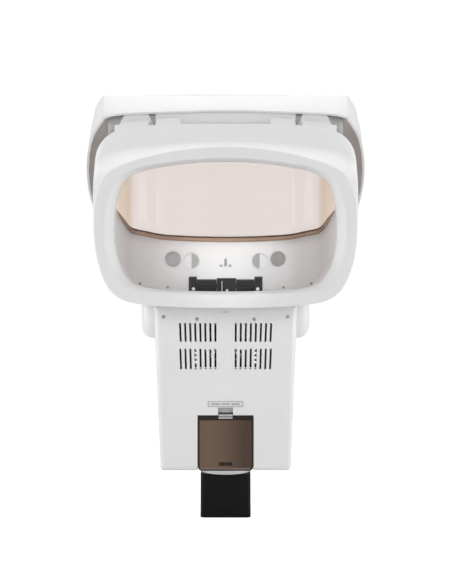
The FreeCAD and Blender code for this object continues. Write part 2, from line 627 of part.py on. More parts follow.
def inner_liner():
    bowl = cavity(WALL, WALL, 60).common(plan_prism(WALL, 380, 700))
    bowl = bowl.cut(cavity(0, 0, 61).common(plan_prism(0, 379, 701)))
    bowl = bowl.cut(rim_slab(-2.0, 400.0)).cut(box(-300, 300, -300, RING_BACK, 0, 900))
    arch = arch_cavity(WALL).cut(arch_cavity(0)).cut(box(-300, 300, -300, RING_BACK, 0, 900))
    arch = arch.common(rim_slab(-2.0, 400.0)).cut(box(-300, 300, ARCH_BACK, 300, 0, 900))
    liner = bowl.fuse(arch)
    for x, z, y in PORTS:
        liner = liner.cut(cyl_y(x, y - 60, 100, z, PORT_R + 0.3)).cut(cyl_y(-x, y - 60, 100, z, PORT_R + 0.3))
    return liner.cut(liner_screws())


def rim_seal():
    band = plan_prism(WALL, 400, 700).cut(plan_prism(0.3, 399, 701)).common(rim_slab(-2.0, -0.3))
    return band.cut(box(-300, 300, -300, ARCH_BACK + 1, 0, 900))


def carrier():
    """Steel cross plate on the tub's floor, with a cheek on each side that hangs on the tilt shafts."""
    plate = box(-CHEEK_X1, CHEEK_X1, -28, 47, 391.5, CARRIER_TOP).common(body_solid(WALL + 0.1))
    neck = box(CHEEK_X0, CHEEK_X1, TILT_Y - CHEEK_R, TILT_Y + CHEEK_R - 1, TILT_Z, CARRIER_TOP)
    disc = cyl_x(CHEEK_X0, CHEEK_X1, TILT_Y, TILT_Z, CHEEK_R).common(box(0, 200, -100, 100, 0, CARRIER_TOP))
    arm = neck.fuse(disc).cut(cyl_x(100, 200, TILT_Y, TILT_Z, 14.0))
    frame = plate.fuse([arm, mirror_x(arm)]).removeSplitter()
    return frame.cut(cyl_z(MIST_X, TILT_Y, TILT_Z, 400, 4.0))


def tilt_bushes():
    right = tube_x(CHEEK_X0, CHEEK_X1, TILT_Y, TILT_Z, 14.0, SHAFT_R + RUN)
    left = mirror_x(right).cut(cyl_z(MIST_X, TILT_Y, TILT_Z, TILT_Z + 30, 4.0))
    return Part.makeCompound([right, left])


def pivot_covers():
    cover = cyl_x(CHEEK_X1 + GAP, COVER_X1, TILT_Y, TILT_Z, CHEEK_R)
    neck = box(CHEEK_X1 + GAP, COVER_X1, TILT_Y - CHEEK_R, TILT_Y + CHEEK_R - 1, TILT_Z, 390)
    peg = cyl_x(CHEEK_X1, CHEEK_X1 + GAP, TILT_Y, TILT_Z + 25, 5)
    cover = cover.fuse(neck).removeSplitter()
    cover = round_edges(cover, 3.0, lambda e: e.BoundBox.XMin > COVER_X1 - 0.1 and e.BoundBox.ZMax < 392)
    return both_sides(cover.fuse(peg))


def steam_hose():
    points = ((MIST_X, TILT_Y, 403), (MIST_X, 36, 403), (-134, 62, 465), (-118, 68, 465))
    hose = pipe_run(points, 5.5).fuse(cyl_z(MIST_X, TILT_Y, CARRIER_TOP, 404, 8)).removeSplitter()
    return hose.cut(mist_manifold()).cut(inner_liner())


def mist_manifold():
    outer = box(-116, 116, MANIFOLD_Y0, MANIFOLD_Y1, 446, 490)
    manifold = outer.cut(box(-114, 114, MANIFOLD_Y0 + 2, MANIFOLD_Y1 - 2, 448, 488))
    for x, z, y in PORTS:
        for sx in (-1, 1):
            tube = cyl_y(sx * x, y + 1, MANIFOLD_Y0 + 1, z, PORT_R)
            manifold = manifold.fuse(tube)
    for x, z, y in PORTS:
        for sx in (-1, 1):
            manifold = manifold.cut(cyl_y(sx * x, y - 5, MANIFOLD_Y0 + 3, z, PORT_R - 1.5))
    return manifold.cut(cyl_x(-120, -112, 68, 465, 4.0)).removeSplitter()


def port_baffles():
    """Dished disc deep in each outer port, and a half-width vane in each inner port."""
    solids = []
    for sx in (-1, 1):
        x, z, y = PORTS[0]
        disc = cyl_y(sx * x, y + 9, y + 11, z, PORT_R - 1.6)
        solids.append(disc.cut(Part.makeSphere(30, Vector(sx * x, y - 19.8, z))))
        x, z, y = PORTS[1]
        vane = cyl_y(sx * x, y + 11, y + 13, z, PORT_R - 1.6)
        solids.append(vane.cut(box(min(0, sx * x), max(0, sx * x), y, y + 20, z - 20, z + 20)))
    return Part.makeCompound(solids)


def temperature_probe():
    foot = box(-2.2, 2.2, 40.4, 42.4, 457, 471)
    tip = Part.makeCylinder(1.8, 13, Vector(0, 39.6, 458), Vector(0, 0, 1))
    return foot.fuse(tip).removeSplitter().cut(plan_prism(WALL, 300, 800).cut(plan_prism(0, 299, 801)))


def liner_screws():
    """Low screws that hold the liner to its frame, and the pair that holds the probe."""
    side = [((sx * 157.0, -7.7, 423.0), (sx * 0.68, 0.733, 0)) for sx in (-1, 1)]
    rear = [((sx * 108.4, 29.4, 417.0), (sx * 0.2236, 0.97468, 0)) for sx in (-1, 1)]
    probe = [((x, 43.6, 458.0), (0, 1, 0)) for x in (-8.5, 8.5)]
    sizes = {"head_r": 2.5, "head_h": 1.5, "shank_r": 1.3, "length": 7.0}
    return Part.makeCompound([screw(seat, into, **sizes) for seat, into in side + rear + probe])


# ---------------------------------------------------------------- steerable nozzles
def nozzle_carrier():
    """Black block on the liner's floor: two end cheeks, a split middle and a thin foot."""
    end = box(53, 67, -14, 14, 400, 435.6)
    end = round_edges(end, 5.0, lambda e: runs_along(e, Vector(1, 0, 0)) and e.BoundBox.ZMin > 430)
    centre = box(-16, 19, -14, 14, 400, 432.6).cut(box(-7.6, -5.6, -20, 20, 408, 428))
    foot = box(-67, 67, -14, 14, 400, 406.4)
    frame = foot.fuse([end, mirror_x(end), centre]).removeSplitter()
    frame = frame.common(cavity(0, 0, 61)).cut(cyl_x(-60, 60, 0, NOZZLE_Z, TRUNNION_R + RUN))
    return frame.cut(nozzle_pegs())


def nozzle(x0, x1):
    """Round nozzle with a long mouth towards the head and a trunnion at each end."""
    barrel = cyl_x(x0 + GAP, x1 - GAP, 0, NOZZLE_Z, NOZZLE_R)
    trunnions = cyl_x(x0 - 5, x1 + 5, 0, NOZZLE_Z, TRUNNION_R)
    body = barrel.fuse(trunnions)
    for z in (-7.0, -1.0, 5.0):
        body = body.cut(box(x0 + 4, x1 - 4, -20, -7.5, NOZZLE_Z + z, NOZZLE_Z + z + 3.2))
    return body.removeSplitter()


def nozzle_left():
    return nozzle(-53, -16)


def nozzle_right():
    return nozzle(19, 53)


def nozzle_pegs():
    pegs = [cyl_y(x, -17.5, -8, 413.0, 3.0) for x in (-58.5, 58.5)]
    pegs.append(cyl_y(2.6, -17.5, -8, 410.5, 2.2))
    return Part.makeCompound(pegs)


# ---------------------------------------------------------------- lid
def wing_points(offset):
    """Points of the wing's front view, moved inwards by offset along the local normal."""
    moved = []
    for k, (x, z) in enumerate(WING):
        x0, z0 = WING[max(k - 1, 0)]
        x1, z1 = WING[min(k + 1, len(WING) - 1)]
        length = math.hypot(x1 - x0, z1 - z0)
        moved.append(Vector(x - offset * (z1 - z0) / length, LID_WING_Y0, z + offset * (x1 - x0) / length))
    return moved


def wing():
    outer, inner = wing_points(0.0), wing_points(WING_T)
    ends = [Part.makeLine(outer[-1], inner[-1]), Part.makeLine(inner[0], outer[0])]
    section = Part.Wire([smooth_curve(outer), ends[0], smooth_curve(inner[::-1]), ends[1]])
    slab = Part.Face(section).extrude(Vector(0, 240, 0))
    view = prism_x([(LID_WING_Y0 - 1, 545), (-60, 528), (40, 482), (LID_PIVOT_Y, 470), (100, 482), (102, 510),
                    (88, 620), (50, 700), (10, 745), (LID_WING_Y0 - 1, 745)], 150, 260)
    return slab.common(view).cut(cyl_x(200, 260, LID_PIVOT_Y, LID_PIVOT_Z, LID_PIVOT_R + RUN))


def lid_frame():
    """White lid: crowned front band and roof border, and a wing down each side to its pivot."""
    band = crowned([(BAND_FRONT, BAND_Z0), (BAND_FRONT + 4, BAND_Z0 - 1), (BAND_TOP_Y + 2, BAND_Z1 - 5),
                    (30, BAND_Z1 - 9), (62, BAND_Z1 - 40), (66, BAND_Z1 - 38), (32, BAND_Z1 - 4),
                    (BAND_TOP_Y, BAND_Z1)])
    window = rounded_bar(-165, 165, BAND_TOP_Y + 25, 18, 500, 800, 30)
    front, back = VISOR_FRONT, VISOR_FRONT + WALL
    skirt = crowned([(front, 690), (back, 690), (back, BAND_Z0 + 7), (front, BAND_Z0 + 4)])
    lid = band.cut(window).fuse(skirt.common(box(-188, 188, -200, 0, 0, 900)))
    corner = prism_y([(198, 704), (215.4, 704), (216, 720), (206, 738), (198, 737)], LID_WING_Y0, 30)
    side = wing()
    return lid.fuse(side).fuse(mirror_x(side)).fuse(corner).fuse(mirror_x(corner)).removeSplitter()


def visor_space(grow):
    """Space under the amber cover, moved outwards by grow."""
    front, top = VISOR_FRONT - grow, VISOR_TOP + grow
    section = [(front, 480), (60, 480), (60, 690), (30, top), (-110, top), (front, 700)]
    return plan_prism(grow, 480, 760).common(crowned(section))


def visor():
    """Amber cover: upright wall over the head plan, closed by a crowned roof."""
    shell = visor_space(WALL).cut(visor_space(0)).cut(rim_slab(-300.0, RIM_H))
    return shell.cut(box(-300, 300, -300, VISOR_FRONT + 3, 0, 900))


def visor_rim():
    band = plan_prism(WALL + 3, 400, 700).cut(plan_prism(-0.5, 399, 701)).common(rim_slab(0.0, RIM_H))
    return band.cut(box(-300, 300, -300, -146, 0, 900))


def lid_pivot_pins():
    """Shouldered pins fixed in the hood's sides; the lid's wings turn on them."""
    right = cyl_x(190, 230, LID_PIVOT_Y, LID_PIVOT_Z, LID_PIVOT_R)
    return both_sides(right)


# ---------------------------------------------------------------- rear controls
def control_panel():
    panel = rounded_panel(92, HOOD_BACK, HOOD_BACK + 4, 416, 480)
    panel = panel.cut(box(-34, 34, HOOD_BACK + 2, HOOD_BACK + 5, 448, 474))
    for x in (START_X, MODE_X):
        panel = panel.cut(cyl_y(x, HOOD_BACK - 1, HOOD_BACK + 5, BUTTON_Z, BUTTON_R + 0.3))
    return panel.cut(cyl_y(KNOB_X, HOOD_BACK - 1, HOOD_BACK + 5, KNOB_Z, 3 + RUN))


def rounded_panel(half, y0, y1, z0, z1):
    return round_edges(box(-half, half, y0, y1, z0, z1), 8.0, lambda e: runs_along(e, Vector(0, 1, 0)))


def display_window():
    return box(-33.8, 33.8, HOOD_BACK + 2, HOOD_BACK + 4.3, 448.2, 473.8)


def panel_button(x):
    cap = cyl_y(x, HOOD_BACK - 1.0, HOOD_BACK + 6.5, BUTTON_Z, BUTTON_R)
    return round_edges(cap, 1.0, lambda e: e.BoundBox.YMin > HOOD_BACK + 6)


def button_start():
    return panel_button(START_X)


def button_mode():
    return panel_button(MODE_X)


def timer_knob():
    knob = cyl_y(KNOB_X, HOOD_BACK + 4.3, HOOD_BACK + 18, KNOB_Z, KNOB_R)
    knob = round_edges(knob, 1.5, lambda e: e.BoundBox.YMin > HOOD_BACK + 17)
    pointer = box(KNOB_X - 1, KNOB_X + 1, HOOD_BACK + 17.4, HOOD_BACK + 19, KNOB_Z + 4, KNOB_Z + 14)
    return knob.cut(pointer).fuse(cyl_y(KNOB_X, HOOD_BACK - 6, HOOD_BACK + 5, KNOB_Z, 3)).removeSplitter()


def panel_board():
    board = box(-85, 85, 88, 89.6, 418, 445)
    for x in (START_X, MODE_X):
        board = board.fuse(box(x - 4, x + 4, 89.6, 96.5, BUTTON_Z - 4, BUTTON_Z + 4))
    post = box(-80, -74, 89.6, HOOD_BACK - WALL, 424, 430)
    board = board.fuse(post).fuse(mirror_x(post))
    return board.fuse(box(KNOB_X - 6, KNOB_X + 6, 88, 93.5, KNOB_Z - 8, KNOB_Z + 6)).removeSplitter()


# ---------------------------------------------------------------- output
NODES = {
    "column": column, "column_end_plate": column_end_plate, "column_screws": column_screws,
    "bearing_block": bearing_block, "swivel_bush": swivel_bush, "swivel_spigot": swivel_spigot,
    "spigot_retainer": spigot_retainer, "spigot_screws": spigot_screws, "collar": collar, "chassis": chassis,
    "bottom_tray": bottom_tray, "front_panel": front_panel, "panel_screws": panel_screws,
    "caption_plate": caption_plate, "rear_casing": rear_casing, "casing_screws": casing_screws,
    "tilt_shafts": tilt_shafts, "friction_washers": friction_washers, "tank_bay": tank_bay,
    "valve_socket": valve_socket, "boiler": boiler, "boiler_element": boiler_element,
    "steam_pipe": steam_pipe, "fan_frame": fan_frame, "fan_rotor": fan_rotor,
    "control_board": control_board, "transformer": transformer, "mains_inlet": mains_inlet,
    "switch_frame": switch_frame, "power_rocker": power_rocker, "water_tank": water_tank,
    "tank_valve": tank_valve, "tank_cap": tank_cap, "bezel_ring": bezel_ring, "hood_shell": hood_shell,
    "inner_liner": inner_liner, "rim_seal": rim_seal, "carrier": carrier, "tilt_bushes": tilt_bushes,
    "pivot_covers": pivot_covers, "steam_hose": steam_hose, "mist_manifold": mist_manifold,
    "port_baffles": port_baffles, "temperature_probe": temperature_probe, "liner_screws": liner_screws,
    "nozzle_carrier": nozzle_carrier, "nozzle_pegs": nozzle_pegs, "nozzle_left": nozzle_left,
    "nozzle_right": nozzle_right, "lid_frame": lid_frame, "visor": visor, "visor_rim": visor_rim,
    "lid_pivot_pins": lid_pivot_pins, "control_panel": control_panel, "display_window": display_window,
    "panel_board": panel_board, "timer_knob": timer_knob, "button_start": button_start,
    "button_mode": button_mode,
}


def main():
    os.makedirs("parts", exist_ok=True)
    for name, make in NODES.items():
        shape = make()
        print(name, len(shape.Solids), round(shape.Volume / 1000, 1), shape.isValid())
        shape.exportStep("parts/" + name + ".step")


main()
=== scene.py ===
import json
import math

import bmesh
import bpy
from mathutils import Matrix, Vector


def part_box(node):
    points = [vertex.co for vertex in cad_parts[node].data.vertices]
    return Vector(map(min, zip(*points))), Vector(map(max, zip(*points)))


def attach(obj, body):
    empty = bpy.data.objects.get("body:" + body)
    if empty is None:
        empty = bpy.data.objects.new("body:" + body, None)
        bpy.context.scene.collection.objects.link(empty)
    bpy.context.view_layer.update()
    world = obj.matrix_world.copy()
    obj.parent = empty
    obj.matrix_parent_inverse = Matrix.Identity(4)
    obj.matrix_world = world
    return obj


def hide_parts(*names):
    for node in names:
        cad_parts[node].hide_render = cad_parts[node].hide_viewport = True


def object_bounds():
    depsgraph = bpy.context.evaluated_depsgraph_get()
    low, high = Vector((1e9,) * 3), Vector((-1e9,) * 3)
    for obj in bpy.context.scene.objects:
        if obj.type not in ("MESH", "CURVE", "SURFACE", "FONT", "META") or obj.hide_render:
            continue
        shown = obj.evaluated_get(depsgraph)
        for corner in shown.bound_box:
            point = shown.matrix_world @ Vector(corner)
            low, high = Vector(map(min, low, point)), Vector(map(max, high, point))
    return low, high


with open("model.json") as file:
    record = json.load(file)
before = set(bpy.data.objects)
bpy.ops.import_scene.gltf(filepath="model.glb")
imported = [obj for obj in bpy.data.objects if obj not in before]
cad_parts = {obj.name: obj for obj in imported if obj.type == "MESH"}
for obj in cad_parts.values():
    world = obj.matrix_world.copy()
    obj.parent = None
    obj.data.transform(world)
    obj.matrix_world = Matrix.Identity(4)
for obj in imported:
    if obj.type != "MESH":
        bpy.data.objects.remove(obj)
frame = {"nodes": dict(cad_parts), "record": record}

CAD_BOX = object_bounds()
NODES = frame["nodes"]

# Camera: level, straight in front of the hood, looking along +Y. Metres, and millimetres of film.
CAMERA_DISTANCE = 1.73
CAMERA_HEIGHT = 0.371
LENS_MM, FILM_MM = 58.1, 36.0
SHIFT_X, SHIFT_Y = 0.0007, 0.0342
# Brightness of the room seen by the object: below, level and overhead
ROOM_LOW, ROOM_FRONT, ROOM_HIGH = 0.58, 0.30, 0.42


# ------------------------------------------------------------------ node material helpers
class Graph:
    """Small wrapper that adds shader nodes and links to one material."""

    def __init__(self, name):
        self.material = bpy.data.materials.new(name)
        self.material.use_nodes = True
        self.tree = self.material.node_tree
        self.tree.nodes.clear()
        self.output = self.tree.nodes.new("ShaderNodeOutputMaterial")

    def add(self, kind, **values):
        node = self.tree.nodes.new(kind)
        for key, value in values.items():
            if hasattr(node, key):
                setattr(node, key, value)
            else:
                node.inputs[key.replace("_", " ")].default_value = value
        return node

    def link(self, source, target):
        self.tree.links.new(source, target)

    def position(self):
        return self.add("ShaderNodeNewGeometry").outputs["Position"]

    def noise(self, scale, detail=3.0, stretch=(1, 1, 1)):
        mapping = self.add("ShaderNodeMapping")
        mapping.inputs["Scale"].default_value = stretch
        self.link(self.position(), mapping.inputs["Vector"])
        noise = self.add("ShaderNodeTexNoise", Scale=scale, Detail=detail)
        self.link(mapping.outputs["Vector"], noise.inputs["Vector"])
        return noise.outputs["Fac"]

    def ramp(self, factor, low, high, low_at=0.3, high_at=0.7):
        ramp = self.add("ShaderNodeValToRGB")
        ends = ramp.color_ramp.elements
        ends[0].position, ends[1].position = low_at, high_at
        ends[0].color, ends[1].color = low, high
        self.link(factor, ramp.inputs["Fac"])
        return ramp.outputs["Color"]

    def range(self, factor, low, high):
        node = self.add("ShaderNodeMapRange")
        node.inputs["To Min"].default_value = low
        node.inputs["To Max"].default_value = high
        self.link(factor, node.inputs["Value"])
        return node.outputs["Result"]

    def finish(self, surface):
        self.link(surface, self.output.inputs["Surface"])
        return self.material


def grey(value, alpha=1.0):
    return (value, value, value, alpha)


def shade(colour, factor):
    return tuple(min(1.0, c * factor) for c in colour[:3]) + (1.0,)


def moulded(name, colour, rough=0.35, grain=900.0, bump=0.02, variation=0.03, edge=0.0008, coat=0.0,
            mirror=0.5):
    """Moulded or painted surface: soft colour drift, uneven gloss, fine grain and rounded-looking edges."""
    g = Graph(name)
    shader = g.add("ShaderNodeBsdfPrincipled")
    drift = g.ramp(g.noise(9.0, 4.0), shade(colour, 1 - variation), shade(colour, 1 + variation))
    g.link(drift, shader.inputs["Base Color"])
    g.link(g.range(g.noise(26.0, 5.0), rough * 0.85, rough * 1.2), shader.inputs["Roughness"])
    shader.inputs["Specular IOR Level"].default_value = mirror
    shader.inputs["Coat Weight"].default_value = coat
    shader.inputs["Coat Roughness"].default_value = 0.12
    soft_edge = g.add("ShaderNodeBevel", samples=4)
    soft_edge.inputs["Radius"].default_value = edge
    grain_bump = g.add("ShaderNodeBump", Strength=bump, Distance=0.0004)
    g.link(g.noise(grain, 2.0), grain_bump.inputs["Height"])
    g.link(soft_edge.outputs["Normal"], grain_bump.inputs["Normal"])
    g.link(grain_bump.outputs["Normal"], shader.inputs["Normal"])
    return g.finish(shader.outputs["BSDF"])


def metal(name, colour, rough=0.3, stretch=(1, 1, 40)):
    """Plated or brushed steel with fine directional scratches."""
    g = Graph(name)
    shader = g.add("ShaderNodeBsdfPrincipled", Metallic=1.0)
    g.link(g.ramp(g.noise(14.0, 4.0), shade(colour, 0.88), shade(colour, 1.08)), shader.inputs["Base Color"])
    lines = g.noise(90.0, 6.0, stretch)
    g.link(g.range(lines, rough * 0.7, rough * 1.4), shader.inputs["Roughness"])
    bump = g.add("ShaderNodeBump", Strength=0.08, Distance=0.0002)
    g.link(lines, bump.inputs["Height"])
    g.link(bump.outputs["Normal"], shader.inputs["Normal"])
    return g.finish(shader.outputs["BSDF"])


def clear_sheet(name, tint, deep_tint, gloss=0.1, milk=0.1):
    """Tinted clear moulding: light passes through, deeper at grazing angles, under a glossy outer skin."""
    g = Graph(name)
    facing = g.add("ShaderNodeLayerWeight", Blend=0.4)
    colour = g.ramp(facing.outputs["Facing"], tint, deep_tint, 0.35, 1.0)
    through = g.add("ShaderNodeBsdfTransparent")
    g.link(colour, through.inputs["Color"])
    cloudy = g.add("ShaderNodeBsdfTranslucent")
    g.link(colour, cloudy.inputs["Color"])
    body = g.add("ShaderNodeMixShader")
    g.link(g.range(g.noise(6.0, 2.0, (1, 1, 0.15)), milk * 0.6, milk * 1.4), body.inputs["Fac"])
    g.link(through.outputs["BSDF"], body.inputs[1])
    g.link(cloudy.outputs["BSDF"], body.inputs[2])
    skin_layer = g.add("ShaderNodeBsdfGlossy", Roughness=gloss)
    bump = g.add("ShaderNodeBump", Strength=0.03, Distance=0.001)
    g.link(g.noise(35.0, 2.0), bump.inputs["Height"])
    g.link(bump.outputs["Normal"], skin_layer.inputs["Normal"])
    edge_on = g.add("ShaderNodeMath", operation="POWER")
    g.link(facing.outputs["Facing"], edge_on.inputs[0])
    edge_on.inputs[1].default_value = 4.0
    shine = g.range(edge_on.outputs["Value"], 0.03, 0.5)
    outside = g.add("ShaderNodeMath", operation="SUBTRACT")
    outside.inputs[0].default_value = 1.0
    g.link(g.add("ShaderNodeNewGeometry").outputs["Backfacing"], outside.inputs[1])
    amount = g.add("ShaderNodeMath", operation="MULTIPLY")
    g.link(shine, amount.inputs[0])
    g.link(outside.outputs["Value"], amount.inputs[1])
    mix = g.add("ShaderNodeMixShader")
    g.link(amount.outputs["Value"], mix.inputs["Fac"])
    g.link(body.outputs["Shader"], mix.inputs[1])
    g.link(skin_layer.outputs["BSDF"], mix.inputs[2])
    return g.finish(mix.outputs["Shader"])


def smoke_face():
    """Smoke brown tank front: upright streaks, and painted light and shade, lighter left of the middle and
    darker to the right.
    """
    g = Graph("smoke")
    shader = g.add("ShaderNodeBsdfPrincipled", Roughness=0.16)
    split = g.add("ShaderNodeSeparateXYZ")
    g.link(g.position(), split.inputs["Vector"])
    # Painted light and shade: the colour runs from lighter on the left to darker on the right across the face
    across = g.add("ShaderNodeMapRange")
    across.inputs["From Min"].default_value, across.inputs["From Max"].default_value = -0.046, 0.046
    g.link(split.outputs["X"], across.inputs["Value"])
    streaks = g.add("ShaderNodeMath", operation="MULTIPLY_ADD")
    g.link(g.noise(60.0, 3.0, (1, 1, 0.05)), streaks.inputs[0])
    streaks.inputs[1].default_value = 0.30
    g.link(across.outputs["Result"], streaks.inputs[2])
    colour = g.ramp(streaks.outputs["Value"], (0.165, 0.106, 0.066, 1), (0.078, 0.046, 0.032, 1), 0.45, 1.0)
    g.link(colour, shader.inputs["Base Color"])
    shader.inputs["Specular IOR Level"].default_value = 0.35
    bump = g.add("ShaderNodeBump", Strength=0.02, Distance=0.001)
    g.link(g.noise(20.0, 2.0), bump.inputs["Height"])
    g.link(bump.outputs["Normal"], shader.inputs["Normal"])
    return g.finish(shader.outputs["BSDF"])


# ------------------------------------------------------------------ the materials
MATERIALS = {
    "white_plastic": moulded("white_plastic", (0.885, 0.885, 0.885), rough=0.38, variation=0.012),
    "liner_white": moulded("liner_white", (0.93, 0.93, 0.935), rough=0.45, variation=0.015),
    # Darker copy of the white plastic: painted shade for the lid's inner faces
    "painted_shade_white": moulded("painted_shade_white", (0.68, 0.68, 0.68), rough=0.5, variation=0.03),
    "black_plastic": moulded("black_plastic", (0.030, 0.030, 0.032), rough=0.42, bump=0.10, variation=0.2),
    "column_black": moulded("column_black", (0.004, 0.004, 0.004), rough=0.3, bump=0.05, variation=0.2,
                            mirror=0.2),
    "steel": metal("steel", (0.62, 0.63, 0.64)),
    "screw_steel": metal("screw_steel", (0.5, 0.5, 0.52), rough=0.35),
    "amber": clear_sheet("amber", (0.935, 0.888, 0.866, 1), (0.86, 0.73, 0.61, 1), gloss=0.08, milk=0.10),
    "amber_edge": moulded("amber_edge", (0.46, 0.32, 0.235), rough=0.25, variation=0.08, coat=0.5),
    "amber_dark": moulded("amber_dark", (0.09, 0.055, 0.04), rough=0.25, variation=0.1, coat=0.5),
    "smoke": smoke_face(),
    "smoke_clear": clear_sheet("smoke_clear", (0.42, 0.34, 0.28, 1), (0.20, 0.15, 0.12, 1), gloss=0.1,
                               milk=0.25),
    "smoke_dark": moulded("smoke_dark", (0.022, 0.016, 0.013), rough=0.2, variation=0.15, mirror=0.3),
    "smoke_light": moulded("smoke_light", (0.22, 0.17, 0.15), rough=0.2, variation=0.1),
    # Mid grey that stands in for shade: painted shade in recesses, deep ports, the finger recess and behind
    # notches
    "painted_shade_grey": moulded("painted_shade_grey", (0.50, 0.50, 0.50), rough=0.5, variation=0.03),
    "card": moulded("card", (0.80, 0.80, 0.80), rough=0.3, variation=0.02),
    "print_grey": moulded("print_grey", (0.22, 0.22, 0.22), rough=0.5, variation=0.1),
    "rubber": moulded("rubber", (0.03, 0.03, 0.03), rough=0.7, bump=0.15, variation=0.15),
    "bush": moulded("bush", (0.62, 0.61, 0.56), rough=0.5),
    "friction": moulded("friction", (0.16, 0.12, 0.09), rough=0.8, bump=0.3, variation=0.2),
    "board": moulded("board", (0.03, 0.16, 0.06), rough=0.35, variation=0.2),
    "iron": moulded("iron", (0.12, 0.12, 0.14), rough=0.5, bump=0.2, variation=0.2),
    "foil": metal("foil", (0.82, 0.82, 0.82), rough=0.35),
    "display": moulded("display", (0.012, 0.016, 0.02), rough=0.08, bump=0.0, coat=1.0),
}
NODE_MATERIALS = {
    "liner_white": ("inner_liner", "port_baffles", "mist_manifold", "tank_bay"),
    "white_plastic": ("collar", "bottom_tray", "front_panel", "rear_casing", "bezel_ring", "hood_shell",
                      "pivot_covers", "lid_frame", "nozzle_pegs", "valve_socket", "button_start",
                      "button_mode"),
    "black_plastic": ("nozzle_carrier", "nozzle_left", "nozzle_right", "fan_frame", "fan_rotor",
                      "mains_inlet", "switch_frame", "power_rocker", "tank_cap", "timer_knob",
                      "control_panel"),
    "column_black": ("column",),
    "steel": ("column_end_plate", "bearing_block", "swivel_spigot", "spigot_retainer", "chassis",
              "tilt_shafts", "lid_pivot_pins", "carrier", "boiler", "boiler_element", "temperature_probe"),
    "screw_steel": ("column_screws", "spigot_screws", "casing_screws", "liner_screws"),
    # Panel screw holes in painted shade grey, for the shade inside their recesses
    "painted_shade_grey": ("panel_screws",),
    "amber": ("visor",), "amber_edge": ("visor_rim", "rim_seal"), "smoke": ("water_tank",),
    "rubber": ("steam_pipe", "steam_hose"),
    "bush": ("swivel_bush", "tilt_bushes", "tank_valve"),
    "friction": ("friction_washers",), "board": ("control_board", "panel_board"), "iron": ("transformer",),
    "foil": ("caption_plate",), "display": ("display_window",),
}


def paint_nodes():
    for material, names in NODE_MATERIALS.items():
        for name in names:
            NODES[name].data.materials.clear()
            NODES[name].data.materials.append(MATERIALS[material])


# ------------------------------------------------------------------ mesh helpers (millimetres in, metres out)
MM = 0.001


def box_mm(node):
    """Lower and upper corner of a CAD node in millimetres."""
    return [corner * 1000 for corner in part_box(node)]


def circle_points(radius, sides=32):
    return [(math.cos(k * 2 * math.pi / sides) * radius, math.sin(k * 2 * math.pi / sides) * radius)
            for k in range(sides)]


def through(points, per_span=6, closed=False):
    """Smooth curve through points: centripetal Catmull-Rom, which stays calm between uneven steps."""
    pts = [Vector(p) for p in points]
    if closed:
        padded = [pts[-1]] + pts + pts[:2]
    else:
        padded = [2 * pts[0] - pts[1]] + pts + [2 * pts[-1] - pts[-2]]
    spans = len(padded) - 3
    curve = []
    for k in range(spans):
        p0, p1, p2, p3 = padded[k:k + 4]
        t1 = max((p1 - p0).length, 1e-6) ** 0.5
        t2 = t1 + max((p2 - p1).length, 1e-6) ** 0.5
        t3 = t2 + max((p3 - p2).length, 1e-6) ** 0.5
        for i in range(per_span):
            t = t1 + (t2 - t1) * i / per_span
            a1 = p0.lerp(p1, t / t1)
            a2 = p1.lerp(p2, (t - t1) / (t2 - t1))
            a3 = p2.lerp(p3, (t - t2) / (t3 - t2))
            b1 = a1.lerp(a2, t / t2)
            b2 = a2.lerp(a3, (t - t1) / (t3 - t1))
            curve.append(b1.lerp(b2, (t - t1) / (t2 - t1)))
    if not closed:
        curve.append(pts[-1])
    return curve


def x_mirror(points):
    return [Vector((-p[0], p[1], p[2])) for p in points]


def mirrored(half):
    """Full closed list of points from a half outline that starts and ends on X = 0."""
    return list(half) + x_mirror(reversed(half[1:-1]))


def loop_at(half, y):
    """Closed smooth loop in the plane at y from a half outline of X and Z."""
    return through(mirrored([Vector((x, y, z)) for x, z in half]), closed=True)


def blend_loops(a, b, share):
    return [p.lerp(q, share) for p, q in zip(a, b)]


def shifted(loop, dx=0.0, dy=0.0, dz=0.0):
    """Loop moved in Y, and grown away from its own centre by dx and dz."""
    mid_z = (min(p.z for p in loop) + max(p.z for p in loop)) / 2
    half_z = max(p.z for p in loop) - mid_z
    half_x = max(p.x for p in loop)
    grow_x, grow_z = 1 + dx / half_x, 1 + dz / half_z
    return [Vector((p.x * grow_x, p.y + dy, mid_z + (p.z - mid_z) * grow_z)) for p in loop]


def skin(rows, closed_rows=True, closed_ring=False, cap_first=False, cap_last=False):
    """Vertices and faces of a sheet through rows of equally many points."""
    width = len(rows[0])
    verts = [p * MM for row in rows for p in row]
    faces = []
    row_pairs = list(zip(range(len(rows)), range(1, len(rows))))
    if closed_ring:
        row_pairs.append((len(rows) - 1, 0))
    for low, high in row_pairs:
        for i in range(width if closed_rows else width - 1):
            j = (i + 1) % width
            faces.append((low * width + i, low * width + j, high * width + j, high * width + i))
    if cap_first:
        faces.append(tuple(reversed(range(width))))
    if cap_last:
        faces.append(tuple((len(rows) - 1) * width + i for i in range(width)))
    return verts, faces


def new_piece(name, body, material, parts, node, sharp_deg=32.0):
    """Object from (vertices, faces) sheets that rides on a body and stands for a CAD node."""
    mesh = bpy.data.meshes.new(name)
    verts, faces = [], []
    for part_verts, part_faces in parts:
        base = len(verts)
        verts += part_verts
        faces += [tuple(base + k for k in face) for face in part_faces]
    mesh.from_pydata([tuple(v) for v in verts], [], faces)
    tidy = bmesh.new()
    tidy.from_mesh(mesh)
    bmesh.ops.remove_doubles(tidy, verts=tidy.verts, dist=0.00002)
    bmesh.ops.recalc_face_normals(tidy, faces=tidy.faces)
    tidy.to_mesh(mesh)
    tidy.free()
    mesh.shade_smooth()
    mesh.set_sharp_from_angle(angle=math.radians(sharp_deg))
    mesh.materials.append(MATERIALS[material])
    piece = bpy.data.objects.new(name, mesh)
    bpy.context.scene.collection.objects.link(piece)
    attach(piece, body)
    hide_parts(node)
    return piece


